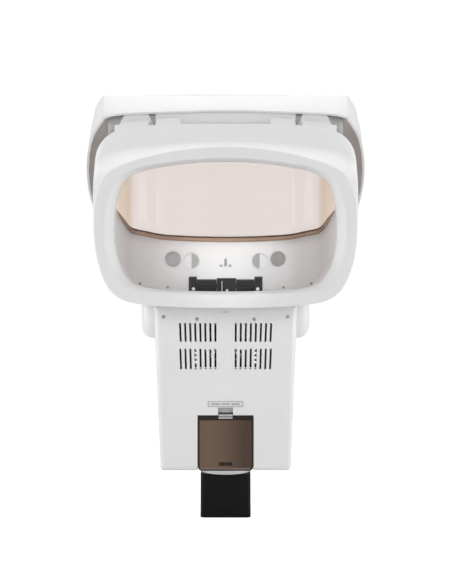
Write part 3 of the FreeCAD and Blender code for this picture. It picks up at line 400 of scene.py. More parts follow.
def thicken(piece, thickness, inside=None):
    """Gives a sheet its wall, inwards; inside names the material of the hidden side."""
    solid = piece.modifiers.new("wall", "SOLIDIFY")
    solid.thickness = thickness * MM
    solid.offset = -1.0
    if inside:
        piece.data.materials.append(MATERIALS[inside])
        solid.material_offset = 1
    solid.use_even_offset = True
    solid.use_quality_normals = True


def soften(piece, width, segments=2, angle_deg=35.0):
    """Rounds the edges that are sharper than angle_deg."""
    bevel = piece.modifiers.new("edge", "BEVEL")
    bevel.width = width * MM
    bevel.segments = segments
    bevel.limit_method = "ANGLE"
    bevel.angle_limit = math.radians(angle_deg)
    bevel.harden_normals = True


# ------------------------------------------------------------------ hood: ring and outer shell
RING_FRONT, RING_BACK = [corner.y for corner in box_mm("bezel_ring")]
HOOD_BACK = box_mm("hood_shell")[1].y
# Depth of the hood's four outlines behind the ring's front face: lip, bend, cove and ridge
LIP_DEPTH, BEND_DEPTH, COVE_DEPTH, RIDGE_DEPTH = 57, 64, 67, 74
RIDGE_Y = RING_FRONT + RIDGE_DEPTH
ROWS_PER_STATION = 6

# Half outlines in X and Z, from the bottom centre round to the top centre.
RING_OUTER = ((0, 376.9), (70, 378.3), (131.4, 382.5), (166, 391), (187, 408.5), (205, 454), (211, 515),
              (206, 562), (190, 591), (165, 606), (104, 623.9), (50, 632), (0, 635))
RING_FACE = ((0, 399), (60, 400), (115, 402.5), (152, 408), (177, 430), (190, 463), (193, 510),
             (187.5, 550), (172, 582), (147, 598), (104, 607.5), (50, 614), (0, 616))
RING_INNER = ((0, 404), (60, 405), (115, 408.5), (147, 416), (165, 436), (176, 470), (178.5, 510),
              (176, 545), (166, 577), (143, 595), (104, 604.5), (50, 611.5), (0, 613.5))
HOOD_LIP = ((0, 380.5), (70, 381.5), (131.4, 386), (169, 394), (191, 411), (209, 457), (216, 520),
            (215, 580), (205, 612), (182, 627), (112, 639.5), (50, 644.5), (0, 646))
HOOD_BEND = ((0, 381), (70, 382), (131.4, 386), (169, 394), (192, 411), (210, 457), (217, 520),
             (217, 587), (208, 623), (184, 636), (112, 646), (50, 650.3), (0, 651.5))
HOOD_COVE = ((0, 383), (70, 384), (131.4, 387), (170, 395), (194, 412), (212, 458), (219, 525),
             (218.5, 595), (210.5, 633), (187, 646), (112, 654), (50, 657.3), (0, 658))
HOOD_RIDGE = ((0, 387), (70, 387.5), (131.4, 390), (172, 397), (197, 415), (214, 460), (221, 530),
              (220, 605), (212.5, 647), (189, 671), (113, 684), (50, 685.3), (0, 685.5))


def hood_rows():
    """Loops of the hood's outer surface: ring edge, shallow lip, tight concave bend, upright cove, ridge."""
    edge = loop_at(RING_OUTER, RING_FRONT + 1.5)
    outlines = ((HOOD_LIP, LIP_DEPTH), (HOOD_BEND, BEND_DEPTH), (HOOD_COVE, COVE_DEPTH),
                (HOOD_RIDGE, RIDGE_DEPTH))
    stations = [edge] + [loop_at(half, RING_FRONT + depth) for half, depth in outlines]
    # One more station beyond each end gives the curves their end direction. Their rows are left out.
    before = blend_loops(edge, stations[1], -0.3)
    after = blend_loops(stations[-2], stations[-1], 1.6)
    stations = [before] + stations + [after]
    columns = [through([row[i] for row in stations], ROWS_PER_STATION) for i in range(len(edge))]
    rows = [list(row) for row in zip(*columns)]
    return rows[ROWS_PER_STATION:-ROWS_PER_STATION]


HOOD_ROWS = hood_rows()
RING_ROWS = 2
SHELL_WALL = 3.0
CHAMFER_DEPTH = 14.0
# Height and outer reach of the lid's rim, and how far the hood's top lies below the seal plane
RIM_H, RIM_OUT, DECK_DROP = 8.5, 6.0, 2.0
# Right half of the head space in plan, from the front round to the back: X, Y
PLAN = ((184.5, -150), (178, -85), (173, -36), (167, -17), (145, 3.5), (125, 22), (110, 29), (60, 40.5),
        (0, 45))
PLAN_CENTRE = Vector((0, -150, 0))


def bezel_ring():
    """Front ring: flat face, soft outer edge, wide inner chamfer and a wall back to the liner."""
    face_out = loop_at(RING_OUTER, RING_FRONT)
    face_in = loop_at(RING_FACE, RING_FRONT)
    chamfer = loop_at(RING_INNER, RING_FRONT + CHAMFER_DEPTH)
    rows = [HOOD_ROWS[k] for k in range(RING_ROWS, -1, -1)]
    rows += [shifted(face_out, -inset, back, -inset) for inset, back in ((0.5, 0.7), (1.4, 0.15), (2.4, 0))]
    rows += [blend_loops(face_out, face_in, share) for share in (0.33, 0.66, 0.96)]
    rows.append(shifted(blend_loops(face_in, chamfer, 0.06), 0, 0.2, 0))
    rows += [blend_loops(face_in, chamfer, share) for share in (0.3, 0.65, 0.95)]
    rows += [shifted(chamfer, 0, 1.0, 0), loop_at(RING_INNER, RING_BACK)]
    rows.append(shifted(HOOD_ROWS[RING_ROWS], -SHELL_WALL, 0, -SHELL_WALL))
    new_piece("bezel_ring_face", "hood", "white_plastic", [skin(rows, closed_ring=True)], "bezel_ring",
              40)


def rim_height(y):
    """Height of the tilted seal plane between hood and lid, from the front and back ends of the lid's rim."""
    low, high = box_mm("visor_rim")
    slope = (high.z - low.z - RIM_H) / (high.y - low.y)
    return high.z - RIM_H - slope * (y - low.y)


def tub_rows():
    """Loops of the hood's body from the ridge to its rounded back."""
    ridge = HOOD_ROWS[-1]
    depth = HOOD_BACK - RIDGE_Y
    # Share of the depth, then growth in X and Z
    stations = ((0.0, 0, 0), (0.2, -1, 0), (0.5, -3, 0), (0.75, -7, -2), (0.89, -13, -6), (0.96, -20, -12),
                (0.99, -28, -19), (1.0, -36, -26))
    rows = [shifted(ridge, dx, share * depth, dz) for share, dx, dz in stations]
    columns = [through([row[i] for row in rows], 4) for i in range(len(ridge))]
    return [list(row) for row in zip(*columns)]


BODY_ROWS = tub_rows()


def crossing(row):
    """Where a loop's right side passes through the seal plane."""
    level = rim_height(row[0].y) - DECK_DROP
    right = row[:len(row) // 2 + 1]
    for a, b in zip(right, right[1:]):
        if a.z <= level < b.z:
            return a.lerp(b, (level - a.z) / (b.z - a.z))
    return None


def head_plan(grow, front_y):
    """Open curve of the head space in plan, from the right front round the back to the left front."""
    right = []
    for x, y in PLAN:
        point = Vector((x, y, 0))
        right.append(point + (point - PLAN_CENTRE).normalized() * grow)
    right[0] = Vector((right[0].x, front_y, 0))
    return through(right + x_mirror(reversed(right[:-1])), 10)


def on_seal_plane(curve, lift):
    return [Vector((p.x, p.y, rim_height(p.y) + lift)) for p in curve]


def resampled(curve, count):
    """Same curve with evenly spaced points."""
    lengths = [0.0]
    for a, b in zip(curve, curve[1:]):
        lengths.append(lengths[-1] + (b - a).length)
    points, k = [], 0
    for i in range(count):
        goal = lengths[-1] * i / (count - 1)
        while k < len(curve) - 2 and lengths[k + 1] < goal:
            k += 1
        span = max(lengths[k + 1] - lengths[k], 1e-9)
        points.append(curve[k].lerp(curve[k + 1], min(1.0, (goal - lengths[k]) / span)))
    return points


def shell_piece(name, sheets, material="white_plastic"):
    return new_piece(name, "hood", material, sheets, "hood_shell")


def hood_arch():
    """Coved front arch between the ring and the ridge."""
    arch = shell_piece("hood_arch", [skin(HOOD_ROWS[RING_ROWS:])])
    thicken(arch, SHELL_WALL)
    soften(arch, 1.2, 3)


def hood_tub():
    """Body below the seal plane, open on top."""
    tub = shell_piece("hood_tub", [skin(BODY_ROWS, cap_last=True)])
    cut = bmesh.new()
    cut.from_mesh(tub.data)
    rise = Vector((0, HOOD_BACK - RIDGE_Y, rim_height(HOOD_BACK) - rim_height(RIDGE_Y)))
    plane_normal = Vector((1, 0, 0)).cross(rise).normalized()
    point = Vector((0, RIDGE_Y, rim_height(RIDGE_Y) - DECK_DROP)) * MM
    everything = cut.verts[:] + cut.edges[:] + cut.faces[:]
    bmesh.ops.bisect_plane(cut, geom=everything, plane_co=point, plane_no=plane_normal, clear_outer=True)
    cut.to_mesh(tub.data)
    cut.free()
    thicken(tub, SHELL_WALL)
    soften(tub, 1.0, 2, 50)


def hood_deck(points=61):
    """Shelf on top of the body, between its wall and the head space."""
    side = [p for p in (crossing(row) for row in BODY_ROWS) if p]
    back = [Vector((side[-1].x * (1 - t), side[-1].y, side[-1].z)) for t in (0.25, 0.5, 0.75, 1.0)]
    outer = side + back + x_mirror(reversed(side + back[:-1]))
    inner = on_seal_plane(head_plan(4.0, RIDGE_Y), -DECK_DROP)
    inner, outer = resampled(inner, points), resampled(outer, points)
    sheet = skin([blend_loops(inner, outer, k / 4) for k in range(5)], closed_rows=False)
    deck = shell_piece("hood_deck", [sheet])
    thicken(deck, SHELL_WALL)
    soften(deck, 1.0)


# ------------------------------------------------------------------ seat of the lid's front band
SEAT_HALF, SEAT_SAG = 180.0, 11.0
# Right side: X of the land's ends, and X of the notch beside it at its foot and its top
LAND_X, NOTCH_X = (75.0, 116.0), (118.0, 128.0)
# Two steps beside each land: depth behind the ridge, then X and Z of the top edge's outer and inner end
CHANNEL_STEPS = ((2.0, (186, 684), (129, 690.5)), (6.0, (173, 690.5), (127, 694.3)))
STEP_HEIGHT, LAND_DEPTH = 14, 12
RIDGE_Z = HOOD_RIDGE[-1][1]
BAND_LOW = 709.5
SEAT_TOP = BAND_LOW + 3


def seat_sag(x):
    """How much lower the seat lies at x than in the middle."""
    return SEAT_SAG * (x / SEAT_HALF) ** 2


def seat_row(y, z, x0, x1):
    across = [x0 + (x1 - x0) * t / 12 for t in range(13)]
    return [Vector((x, y, z - seat_sag(x))) for x in across]


def lid_seat():
    """Stepped wall behind the ridge that the lid's front band closes against, with a notch by each land."""
    rise = ((RIDGE_Y + 9, RIDGE_Z - 8), (RIDGE_Y + 9, RIDGE_Z + 5), (RIDGE_Y + 13, RIDGE_Z + 5),
            (RIDGE_Y + 13, SEAT_TOP))
    sheets = [skin([seat_row(y, z, -NOTCH_X[0], NOTCH_X[0]) for y, z in rise], closed_rows=False)]
    outer = (SEAT_HALF + 8, SEAT_HALF + 3, SEAT_HALF + 3, SEAT_HALF - 9)
    inner = (NOTCH_X[0] + 1, NOTCH_X[0] + 3, NOTCH_X[0] + 3, NOTCH_X[1] + 3)
    for side in (-1, 1):
        rows = [seat_row(y, z, side * x0, side * x1) for (y, z), x0, x1 in zip(rise, inner, outer)]
        sheets.append(skin(rows, closed_rows=False))
    seat = shell_piece("lid_seat", sheets)
    thicken(seat, 2.5)
    soften(seat, 0.6)


def notch_shade_backs():
    """Grey plate behind each notch: a sheet of painted shade where the gap behind the notch is in shadow."""
    sheets = []
    for side in (-1, 1):
        rows = [seat_row(RIDGE_Y + 14.5, z, side * (NOTCH_X[0] - 6), side * 198)
                for z in (RIDGE_Z - 9, SEAT_TOP)]
        sheets.append(skin(rows, closed_rows=False))
    # The plate's grey is painted shade that fills the shadowed gap behind each notch
    thicken(shell_piece("notch_shade_backs", sheets, "painted_shade_grey"), 1.0)


def lid_lands():
    """Two raised lands on the ridge, and two steps beside each of them."""
    parts = []
    for side in (-1, 1):
        x0, x1 = side * LAND_X[0], side * LAND_X[1]
        base, top = RIDGE_Z - 10, RIDGE_Z + 13
        front = [Vector((x0, RIDGE_Y + 1, base - seat_sag(x0))),
                 Vector((x1 + side * 4.0, RIDGE_Y + 1, base - seat_sag(x1))),
                 Vector((x1, RIDGE_Y + 5, top - seat_sag(x1))), Vector((x0, RIDGE_Y + 5, top - seat_sag(x0)))]
        parts.append(skin([front, shifted(front, 0, LAND_DEPTH, 0)], cap_first=True, cap_last=True))
        for depth, (xa, za), (xb, zb) in CHANNEL_STEPS:
            y0, y1 = RIDGE_Y + depth, RIDGE_Y + LAND_DEPTH
            corners = ((xb, y0, zb - STEP_HEIGHT), (xa, y0, za - STEP_HEIGHT), (xa, y0 + 1.5, za),
                       (xb, y0 + 1.5, zb))
            step = [Vector((side * x, y, z)) for x, y, z in corners]
            parts.append(skin([step, [Vector((p.x, y1, p.z)) for p in step]], cap_first=True, cap_last=True))
    soften(shell_piece("lid_lands", parts), 1.0, 3)


# ------------------------------------------------------------------ liner of the head space
# Cross-section of the floor's right half: X, Z
LINER_FLOOR = ((0, 404), (60, 405), (120, 408.5), (155, 416), (173, 436), (184, 470), (190, 500))
# Right side's port centres (X, Z), the radius of their holes, and the stretch in Y that is cut out there
PORT_PLACES, PORT_HOLE_R, PORT_CUT_Y = ((98.0, 470.0), (64.0, 467.0)), 15.8, (5, 60)
# Rows of the funnel: depth behind the ring, growth, and stretch in height about FUNNEL_Z
ARCH_STEPS = ((1.0, 0.5, 1.0), (38.0, 4.0, 1.2), (50.0, 7.0, 1.36), (55.0, 8.0, 1.5))
ARCH_LOW_Z, FUNNEL_Z = 548.0, 500
# The wall's front end rises to the funnel. Behind this Y it stays just below the seal plane.
WALL_FRONT_END = -152


def floor_height(x):
    for (x0, z0), (x1, z1) in zip(LINER_FLOOR, LINER_FLOOR[1:]):
        if abs(x) <= x1:
            return z0 + (z1 - z0) * (abs(x) - x0) / (x1 - x0)
    return LINER_FLOOR[-1][1]


def face_towards(piece, centre):
    """Turns the sheet's faces so that most of them look at centre."""
    centre = Vector(centre) * MM
    aim = sum((centre - face.center).dot(face.normal) * face.area for face in piece.data.polygons)
    if aim < 0:
        piece.data.flip_normals()


def port_cutter():
    """One closed rod through each of the four mist ports, as one mesh."""
    verts, faces = [], []
    for port_x, port_z in PORT_PLACES:
        for x in (-port_x, port_x):
            tube = [[Vector((x + dx, y, port_z + dz)) for dx, dz in circle_points(PORT_HOLE_R)]
                    for y in PORT_CUT_Y]
            tube_verts, tube_faces = skin(tube, cap_first=True, cap_last=True)
            faces += [tuple(len(verts) + k for k in face) for face in tube_faces]
            verts += tube_verts
    return verts, faces


def liner_bowl():
    """Upright wall round the head space with its four ports, and the floor."""
    plan = head_plan(0.0, RING_BACK + 1)
    ends = [(floor_height(p.x), rim_height(p.y) + (4 if p.y < WALL_FRONT_END else -2)) for p in plan]
    wall = []
    for share in (0.0, 0.03, 0.15, 0.4, 0.7, 1.0):
        wall.append([Vector((p.x, p.y, low + (top - low) * share)) for p, (low, top) in zip(plan, ends)])
    floor = []
    for a, b in zip(plan[:len(plan) // 2 + 1], reversed(plan)):
        across = [a.x + (b.x - a.x) * k / 24 for k in range(25)]
        floor.append([Vector((x, a.y, floor_height(x))) for x in across])
    sheets = [skin(wall, closed_rows=False), skin(floor, closed_rows=False)]
    bowl = new_piece("liner_bowl", "hood", "liner_white", sheets, "inner_liner", 20)
    face_towards(bowl, (0, -100, 480))
    thicken(bowl, 2.5)
    cut_out(bowl, port_cutter())


def liner_arch():
    """Funnel over the head space that rises from the ring to the lid's front edge."""
    base = loop_at(RING_INNER, 0)
    keep = [k for k, p in enumerate(base) if p.z >= ARCH_LOW_Z]
    rows = []
    for depth, grow, stretch in ARCH_STEPS:
        loop = shifted(base, grow, RING_BACK + depth, 0)
        rows.append([Vector((loop[k].x, loop[k].y, FUNNEL_Z + (loop[k].z - FUNNEL_Z) * stretch))
                     for k in keep])
    arch = new_piece("liner_arch", "hood", "liner_white", [skin(rows, closed_rows=False)], "inner_liner",
                     60)
    face_towards(arch, (0, -150, 560))
    thicken(arch, 1.5)


# ------------------------------------------------------------------ lid: white frame, amber cover and its rim
# Control curves of the lid's right side, from the wing's lower end up to the top edge: X, Y, Z.
SIDE_FRONT = ((221, 50, 470), (222, -10, 492), (229, -48, 535), (242, -65, 586), (244.5, -70, 621),
              (240.8, -80, 654), (230, -105, 676), (217, -130, 688), (206.3, -150, 697), (207.2, -133, 719),
              (208, -117, 741))
SIDE_WIDE = ((221.5, 60, 467), (223, 15, 487), (232, -10, 540), (244, -20, 587), (248, -25, 622),
             (246, -32, 660), (242.5, -42, 686), (238.5, -50, 704), (233.5, -58, 719), (228.5, -66, 733),
             (219, -74, 745))
SIDE_REAR = ((221.5, 75, 465.5), (224, 50, 485), (232, 45, 540), (242, 40, 587), (246, 38, 625),
             (244, 35, 660), (240, 30, 688), (236.5, 25, 706), (233, 20, 720), (228, 15, 734), (219, 10, 741))
SIDE_BACK = ((221, 92, 470), (224, 101, 490), (229, 107, 535), (235, 108, 580), (238, 104, 615),
             (237, 98, 640), (234, 92, 658), (230, 87, 670), (225, 83, 679), (218, 79, 685), (209, 77, 689))
BAND_LOWER = ((206.3, -150, 697), (181, -150, 702.8), (110, -150, 706.5), (0, -150, 709.5))
BAND_UPPER = ((208, -117, 741), (181, -115, 741.6), (110, -115, 742.2), (0, -115, 742.6))
ROOF_FRONT = ((219, -74, 745), (196, -72, 748.5), (115, -72, 751), (0, -72, 752))
ROOF_REAR = ((219, 10, 741), (196, 10, 744.5), (115, 12, 747), (0, 12, 748))
ROOF_BACK = ((209, 77, 689), (185, 79, 691), (110, 81, 693.5), (0, 82, 694.5))
# Front band, part way up: share of its height and how far it bulges forward there
BAND_BULGE = ((0, 0), (0.03, 0.3), (0.25, 1.2), (0.5, 1.6), (0.75, 1.2), (0.86, 0.9))
WINDOW_HALF, WINDOW_Y, WINDOW_ROUND = 160.0, (-88.0, 22.0), 34
# Heights well below and above the lid's top, for the window's cutter
CUTTER_Z = (640, 800)
LID_WALL = 4.0


def both_sides(curve):
    """Right-hand curve that ends on X = 0, carried over to the left."""
    return list(curve) + x_mirror(reversed(curve[:-1]))


def grid_through(curves, along=6, between=8):
    """Rows of points on a smooth sheet through control curves."""
    fine = [through(curve, along) for curve in curves]
    columns = [through([curve[i] for curve in fine], between) for i in range(len(fine[0]))]
    return [list(row) for row in zip(*columns)]


def lid_frame():
    """Flared clamshell: two side wings, roof with a window, and the front band."""
    side = grid_through((SIDE_FRONT, SIDE_WIDE, SIDE_REAR, SIDE_BACK))
    left = [x_mirror(row) for row in side]
    roof = grid_through([both_sides(curve) for curve in (BAND_UPPER, ROOF_FRONT, ROOF_REAR, ROOF_BACK)])
    low, top = [through(both_sides(curve), 6) for curve in (BAND_LOWER, BAND_UPPER)]
    band = [shifted(blend_loops(low, top, share), 0, -bulge, 0) for share, bulge in BAND_BULGE] + [top]
    sheets = [skin(rows, closed_rows=False) for rows in (side, left, roof, band)]
    lid = new_piece("lid_shell", "lid", "white_plastic", sheets, "lid_frame", 28)
    # The lid's inner faces are the same plastic as outside; their darker white is painted shade
    thicken(lid, LID_WALL, "painted_shade_white")
    soften(lid, 0.8, 3, 28)
    cut_out(lid, rounded_block(WINDOW_HALF, WINDOW_Y, CUTTER_Z, WINDOW_ROUND))


def rounded_block(half_x, y_range, z_range, radius):
    """Upright prism with rounded corners in plan."""
    side_x, (front, back) = half_x - radius, (y_range[0] + radius, y_range[1] - radius)
    centres = ((side_x, back, 0), (-side_x, back, 90), (-side_x, front, 180), (side_x, front, 270))
    outline = []
    for cx, cy, start in centres:
        for k in range(9):
            angle = math.radians(start + k * 90 / 8)
            outline.append((cx + radius * math.cos(angle), cy + radius * math.sin(angle)))
    rows = [[Vector((x, y, z)) for x, y in outline] for z in z_range]
    return skin(rows, cap_first=True, cap_last=True)


def cut_out(piece, cutter_sheet):
    """Cuts an opening in a piece and keeps the result as plain mesh."""
    mesh = bpy.data.meshes.new("cutter")
    mesh.from_pydata([tuple(v) for v in cutter_sheet[0]], [], cutter_sheet[1])
    fix = bmesh.new()
    fix.from_mesh(mesh)
    bmesh.ops.recalc_face_normals(fix, faces=fix.faces)
    fix.to_mesh(mesh)
    fix.free()
    cutter = bpy.data.objects.new("cutter", mesh)
    bpy.context.scene.collection.objects.link(cutter)
    boolean = piece.modifiers.new("opening", "BOOLEAN")
    boolean.operation, boolean.solver, boolean.object = "DIFFERENCE", "EXACT", cutter
    bpy.context.view_layer.update()
    evaluated = piece.evaluated_get(bpy.context.evaluated_depsgraph_get())
    result = bpy.data.meshes.new_from_object(evaluated)
    piece.modifiers.clear()
    piece.data = result
    bpy.data.objects.remove(cutter)


VISOR_FRONT, VISOR_TOP, VISOR_ROUND, VISOR_WALL = -138.0, 733.0, 24.0, 3.0
# In front of this Y the cover's top slopes down, by the drop over the length
NOSE_Y, NOSE_DROP, NOSE_LENGTH = -105.0, 33.0, 35.0
ROOF_CENTRE, ROOF_CROWN = Vector((0, -60, 0)), 6


def visor_top(y):
    return VISOR_TOP - NOSE_DROP * max(0.0, (NOSE_Y - y) / NOSE_LENGTH)


def visor():
    """Amber cover: upright wall over the head plan, rounded over into a roof under the lid's window."""
    plan = head_plan(1.5, VISOR_FRONT)
    ends = [(rim_height(p.y) + 3, visor_top(p.y) - VISOR_ROUND) for p in plan]
    rows = []
    for share in (0.0, 0.12, 0.3, 0.5, 0.7, 0.88):
        rows.append([Vector((p.x, p.y, low * (1 - share) + top * share))
                     for p, (low, top) in zip(plan, ends)])
    for k in range(8):
        angle = math.radians(90 * k / 7)
        inset = VISOR_ROUND * (1 - math.cos(angle))
        drop = VISOR_ROUND * (1 - math.sin(angle))
        rows.append([p + (ROOF_CENTRE - p).normalized() * inset + Vector((0, 0, visor_top(p.y) - drop))
                     for p in plan])
    last = rows[-1]
    roof = []
    for a, b in zip(last[:len(last) // 2 + 1], reversed(last)):
        roof.append([a.lerp(b, t / 16) + Vector((0, 0, ROOF_CROWN * (1 - (1 - t / 8) ** 2)))
                     for t in range(17)])
    sheets = [skin(rows, closed_rows=False), skin(roof, closed_rows=False)]
    cover = new_piece("visor_cover", "lid", "amber", sheets, "visor", 60)
    thicken(cover, VISOR_WALL)


def rim_piece(name, material, low, high, inside):
    """Bar round the head space that follows the seal plane between two heights above it."""
    section = ((inside, low), (RIM_OUT, low), (RIM_OUT, high), (inside, high))
    loops = [on_seal_plane(head_plan(grow, VISOR_FRONT - 4), lift) for grow, lift in section]
    rows = [list(row) for row in zip(*loops)]
    rim = new_piece(name, "lid", material, [skin(rows, cap_first=True, cap_last=True)], "visor_rim")
    soften(rim, 0.8, 3)


def visor_rim():
    """Thick lower edge of the amber cover: a dark lip over a lighter foot."""
    rim_piece("rim_foot", "amber_edge", 0.0, RIM_H - 3.2, -1.5)
    rim_piece("rim_lip", "amber_dark", RIM_H - 3.0, RIM_H, -0.5)


# ------------------------------------------------------------------ tilt pivots between box and hood
JOINTS = {joint["name"]: joint for joint in frame["record"]["behaviour"]["joints"]}
TILT = Vector(JOINTS["hood_tilt"]["pos_m"]) * 1000
EAR_R, EAR_ROUND, CHEEK_R, BORE_R = 38.8, 20.0, 26.0, 14.0
# How far the covers and the cheeks start inside the carrier's ends
COVER_START, CHEEK_START, CHEEK_END = 26.5, 25, 8


def lug(x, radius, top):
    """Side view of a lug at x: a half disc about the tilt axis with straight sides up to top."""
    arc = [math.radians(-180 * k / 24) for k in range(25)]
    low = [Vector((x, TILT.y + radius * math.cos(a), TILT.z + radius * math.sin(a))) for a in arc]
    return [Vector((x, TILT.y + radius, top))] + low + [Vector((x, TILT.y - radius, top))]


def ear_covers():
    """White cover over each pivot, rounded over towards the outside and open towards the box."""
    high = box_mm("pivot_covers")[1]
    start = box_mm("carrier")[1].x - COVER_START
    flat = high.x - EAR_ROUND
    parts = []
    for side in (-1, 1):
        rows = [lug(start, EAR_R, high.z), lug(start + 0.5 * (flat - start), EAR_R, high.z)]
        for k in range(9):
            angle = math.radians(90 * k / 8)
            radius = EAR_R - EAR_ROUND * (1 - math.cos(angle))
            rows.append(lug(flat + EAR_ROUND * math.sin(angle), radius, high.z))
        rows.append(lug(high.x + 0.3, 6.0, high.z))
        rows = [[Vector((side * p.x, p.y, p.z)) for p in row] for row in rows]
        parts.append(skin(rows, closed_rows=False))
    ears = new_piece("ear_covers", "hood", "white_plastic", parts, "pivot_covers", 40)
    thicken(ears, 1.6)


def tilt_carrier():
    """Steel cross plate with a bored cheek at each end that hangs on the tilt shafts."""
    low, high = box_mm("carrier")
    plate = block(-high.x + 6, high.x - 6, low.y + 10, high.y - 1, high.z - 5.5, high.z)
    parts = [plate]
    for side in (-1, 1):
        x0, x1 = side * (high.x - CHEEK_START), side * (high.x - CHEEK_END)
        outer = lug(0, CHEEK_R, high.z - 5)
        bore = []
        for p in outer:
            around = Vector((0, p.y - TILT.y, p.z - TILT.z)).normalized() * BORE_R
            bore.append(Vector((0, TILT.y + around.y, TILT.z + around.z)))
        turns = ((x0, outer), (x1, outer), (x1, bore), (x0, bore))
        parts.append(skin([[Vector((x, p.y, p.z)) for p in loop] for x, loop in turns], closed_ring=True))
    carrier = new_piece("tilt_carrier", "hood", "steel", parts, "carrier")
    soften(carrier, 0.8, 2, 50)


# ------------------------------------------------------------------ tank, caption card and mist ports
def block(x0, x1, y0, y1, z0, z1):
    low = [Vector((x, y, z0)) for x, y in ((x0, y0), (x1, y0), (x1, y1), (x0, y1))]
    return skin([low, [Vector((p.x, p.y, z1)) for p in low]], cap_first=True, cap_last=True)


TANK_LOW, TANK_HIGH = box_mm("water_tank")
TANK_FRONT, PLATE_HALF, PLATE_LOW, PLATE_HIGH = TANK_LOW.y, TANK_HIGH.x, TANK_LOW.z, TANK_HIGH.z - 2.5
# Corner radii of the front plate, at the top and at the foot
PLATE_ROUND_TOP, PLATE_ROUND_LOW = 2.5, 6.0
BODY_HALF, BODY_LOW, BODY_TOP, FILLER_R = 44, 113, 186.0, 14.0
# Border round the front plate: depth behind the front, and inset
BORDER_STEPS = ((3, 0), (0.8, 0), (0, 0.7), (0, 2.0), (0.9, 2.3), (3, 2.3))


def plate_outline(depth, inset):
    """Front view of the tank's front plate at a depth behind its front, moved inwards by inset."""
    corners = ((1, 1, PLATE_ROUND_TOP, 0), (-1, 1, PLATE_ROUND_TOP, 90), (-1, -1, PLATE_ROUND_LOW, 180),
               (1, -1, PLATE_ROUND_LOW, 270))
    loop = []
    for side, up, radius, start in corners:
        middle_x = side * (PLATE_HALF - radius)
        middle_z = PLATE_HIGH - radius if up > 0 else PLATE_LOW + radius
        reach = max(radius - inset, 0.3)
        for k in range(6):
            angle = math.radians(start + 90 * k / 5)
            x, z = middle_x + reach * math.cos(angle), middle_z + reach * math.sin(angle)
            loop.append(Vector((x, TANK_FRONT + depth, z)))
    return loop


def plate_block(half, depth0, depth1, z0, z1):
    return block(-half, half, TANK_FRONT + depth0, TANK_FRONT + depth1, z0, z1)


def tank_piece(name, material, parts):
    return new_piece(name, "tank", material, parts, "water_tank")


def tank_plate():
    """Front plate: dark border and marks, a finger lip in painted shade grey, the smoke face and a lighter
    sill.
    """
    border = [skin([plate_outline(depth, inset) for depth, inset in BORDER_STEPS], closed_ring=True)]
    border.append(plate_block(PLATE_HALF - 2.2, 0.5, 2.5, PLATE_HIGH - 7.5, PLATE_HIGH - 2))
    border += [block(x - 5.4, x + 5.4, TANK_FRONT + 0.5, TANK_FRONT + 2.5, PLATE_LOW + 8.5, PLATE_LOW + 14.5)
               for x in (-5.9, 5.9)]
    soften(tank_piece("tank_border", "smoke_dark", border), 0.3, 2, 50)
    # The finger lip's grey is painted shade of the finger recess
    soften(tank_piece("tank_grip", "painted_shade_grey", [plate_block(12, 0, 6, PLATE_HIGH - 5, TANK_HIGH.z)]), 1.0, 3)
    face = skin([plate_outline(0.8, 2.2), plate_outline(2.9, 2.2)], cap_first=True, cap_last=True)
    tank_piece("tank_face", "smoke", [face])
    sill = plate_block(PLATE_HALF - 5, 0.4, 2.5, PLATE_LOW + 2.3, PLATE_LOW + 4.6)
    tank_piece("tank_sill", "smoke_light", [sill])


def tank_body():
    """Clear body behind the plate, with a filler hole and its neck under the cap."""
    cap_low, cap_high = box_mm("tank_cap")
    cap_y = (cap_low.y + cap_high.y) / 2
    circle = circle_points(FILLER_R)
    box = block(-BODY_HALF, BODY_HALF, TANK_FRONT + 3.1, TANK_HIGH.y, BODY_LOW, BODY_TOP)
    body = tank_piece("tank_body", "smoke_clear", [box])
    hole = [[Vector((x, cap_y + y, z)) for x, y in circle] for z in (BODY_TOP - 4, BODY_TOP + 14)]
    cut_out(body, skin(hole, cap_first=True, cap_last=True))
    soften(body, 2.5, 3)
    rings = ((1.0, BODY_TOP), (1.22, BODY_TOP), (1.22, BODY_TOP + 2), (1.0, BODY_TOP + 2))
    neck = [[Vector((x * wide, cap_y + y * wide, z)) for x, y in circle] for wide, z in rings]
    tank_piece("tank_neck", "smoke_clear", [skin(neck, closed_ring=True)])


def caption_card():
    """Blank caption card: pale foil with a thin printed frame and rows of plain dashes."""
    low, high = box_mm("caption_plate")
    foil = block(low.x, high.x, low.y - 0.1, high.y, low.z, high.z)
    card = new_piece("caption_card", "head", "card", [foil], "caption_plate")
    soften(card, 0.15)
    x0, x1, z0, z1 = low.x + 0.5, high.x - 0.5, low.z + 0.6, high.z - 0.6
    middle, line = (z0 + z1) / 2, 0.55
    frame_lines = ((x0, x1, z0, z0 + line), (x0, x1, z1 - line, z1), (x0, x0 + line, z0, z1),
                   (x1 - line, x1, z0, z1))
    starts = [group + 2.4 * k for group in (-24.0, -7.0, 10.0) for k in range(6)]
    dashes = [(x, x + 1.6, middle - 1.1, middle + 1.1) for x in starts]
    marks = [block(xa, xb, low.y - 0.2, low.y + 0.1, za, zb) for xa, xb, za, zb in (*frame_lines, *dashes)]
    new_piece("caption_marks", "head", "print_grey", marks, "caption_plate")


# Dish of the outer port: share of its radius, and depth
DISH_STEPS = ((1.0, 0.0), (0.8, 2.2), (0.55, 3.8), (0.28, 4.8), (0.02, 5.1))
DISH_R, INNER_PORT_X = 13.9, 64.0


def half_disc(side, turn, y, z, thickness=1.5):
    """Upright half disc in the inner port of one side, turned about its centre."""
    angles = [math.radians((0 if side > 0 else 180) + turn - 90 + 180 * k / 16) for k in range(17)]
    near = [Vector((side * INNER_PORT_X + DISH_R * math.cos(a), y, z + DISH_R * math.sin(a))) for a in angles]
    return skin([near, [Vector((p.x, p.y + thickness, p.z)) for p in near]], cap_first=True, cap_last=True)


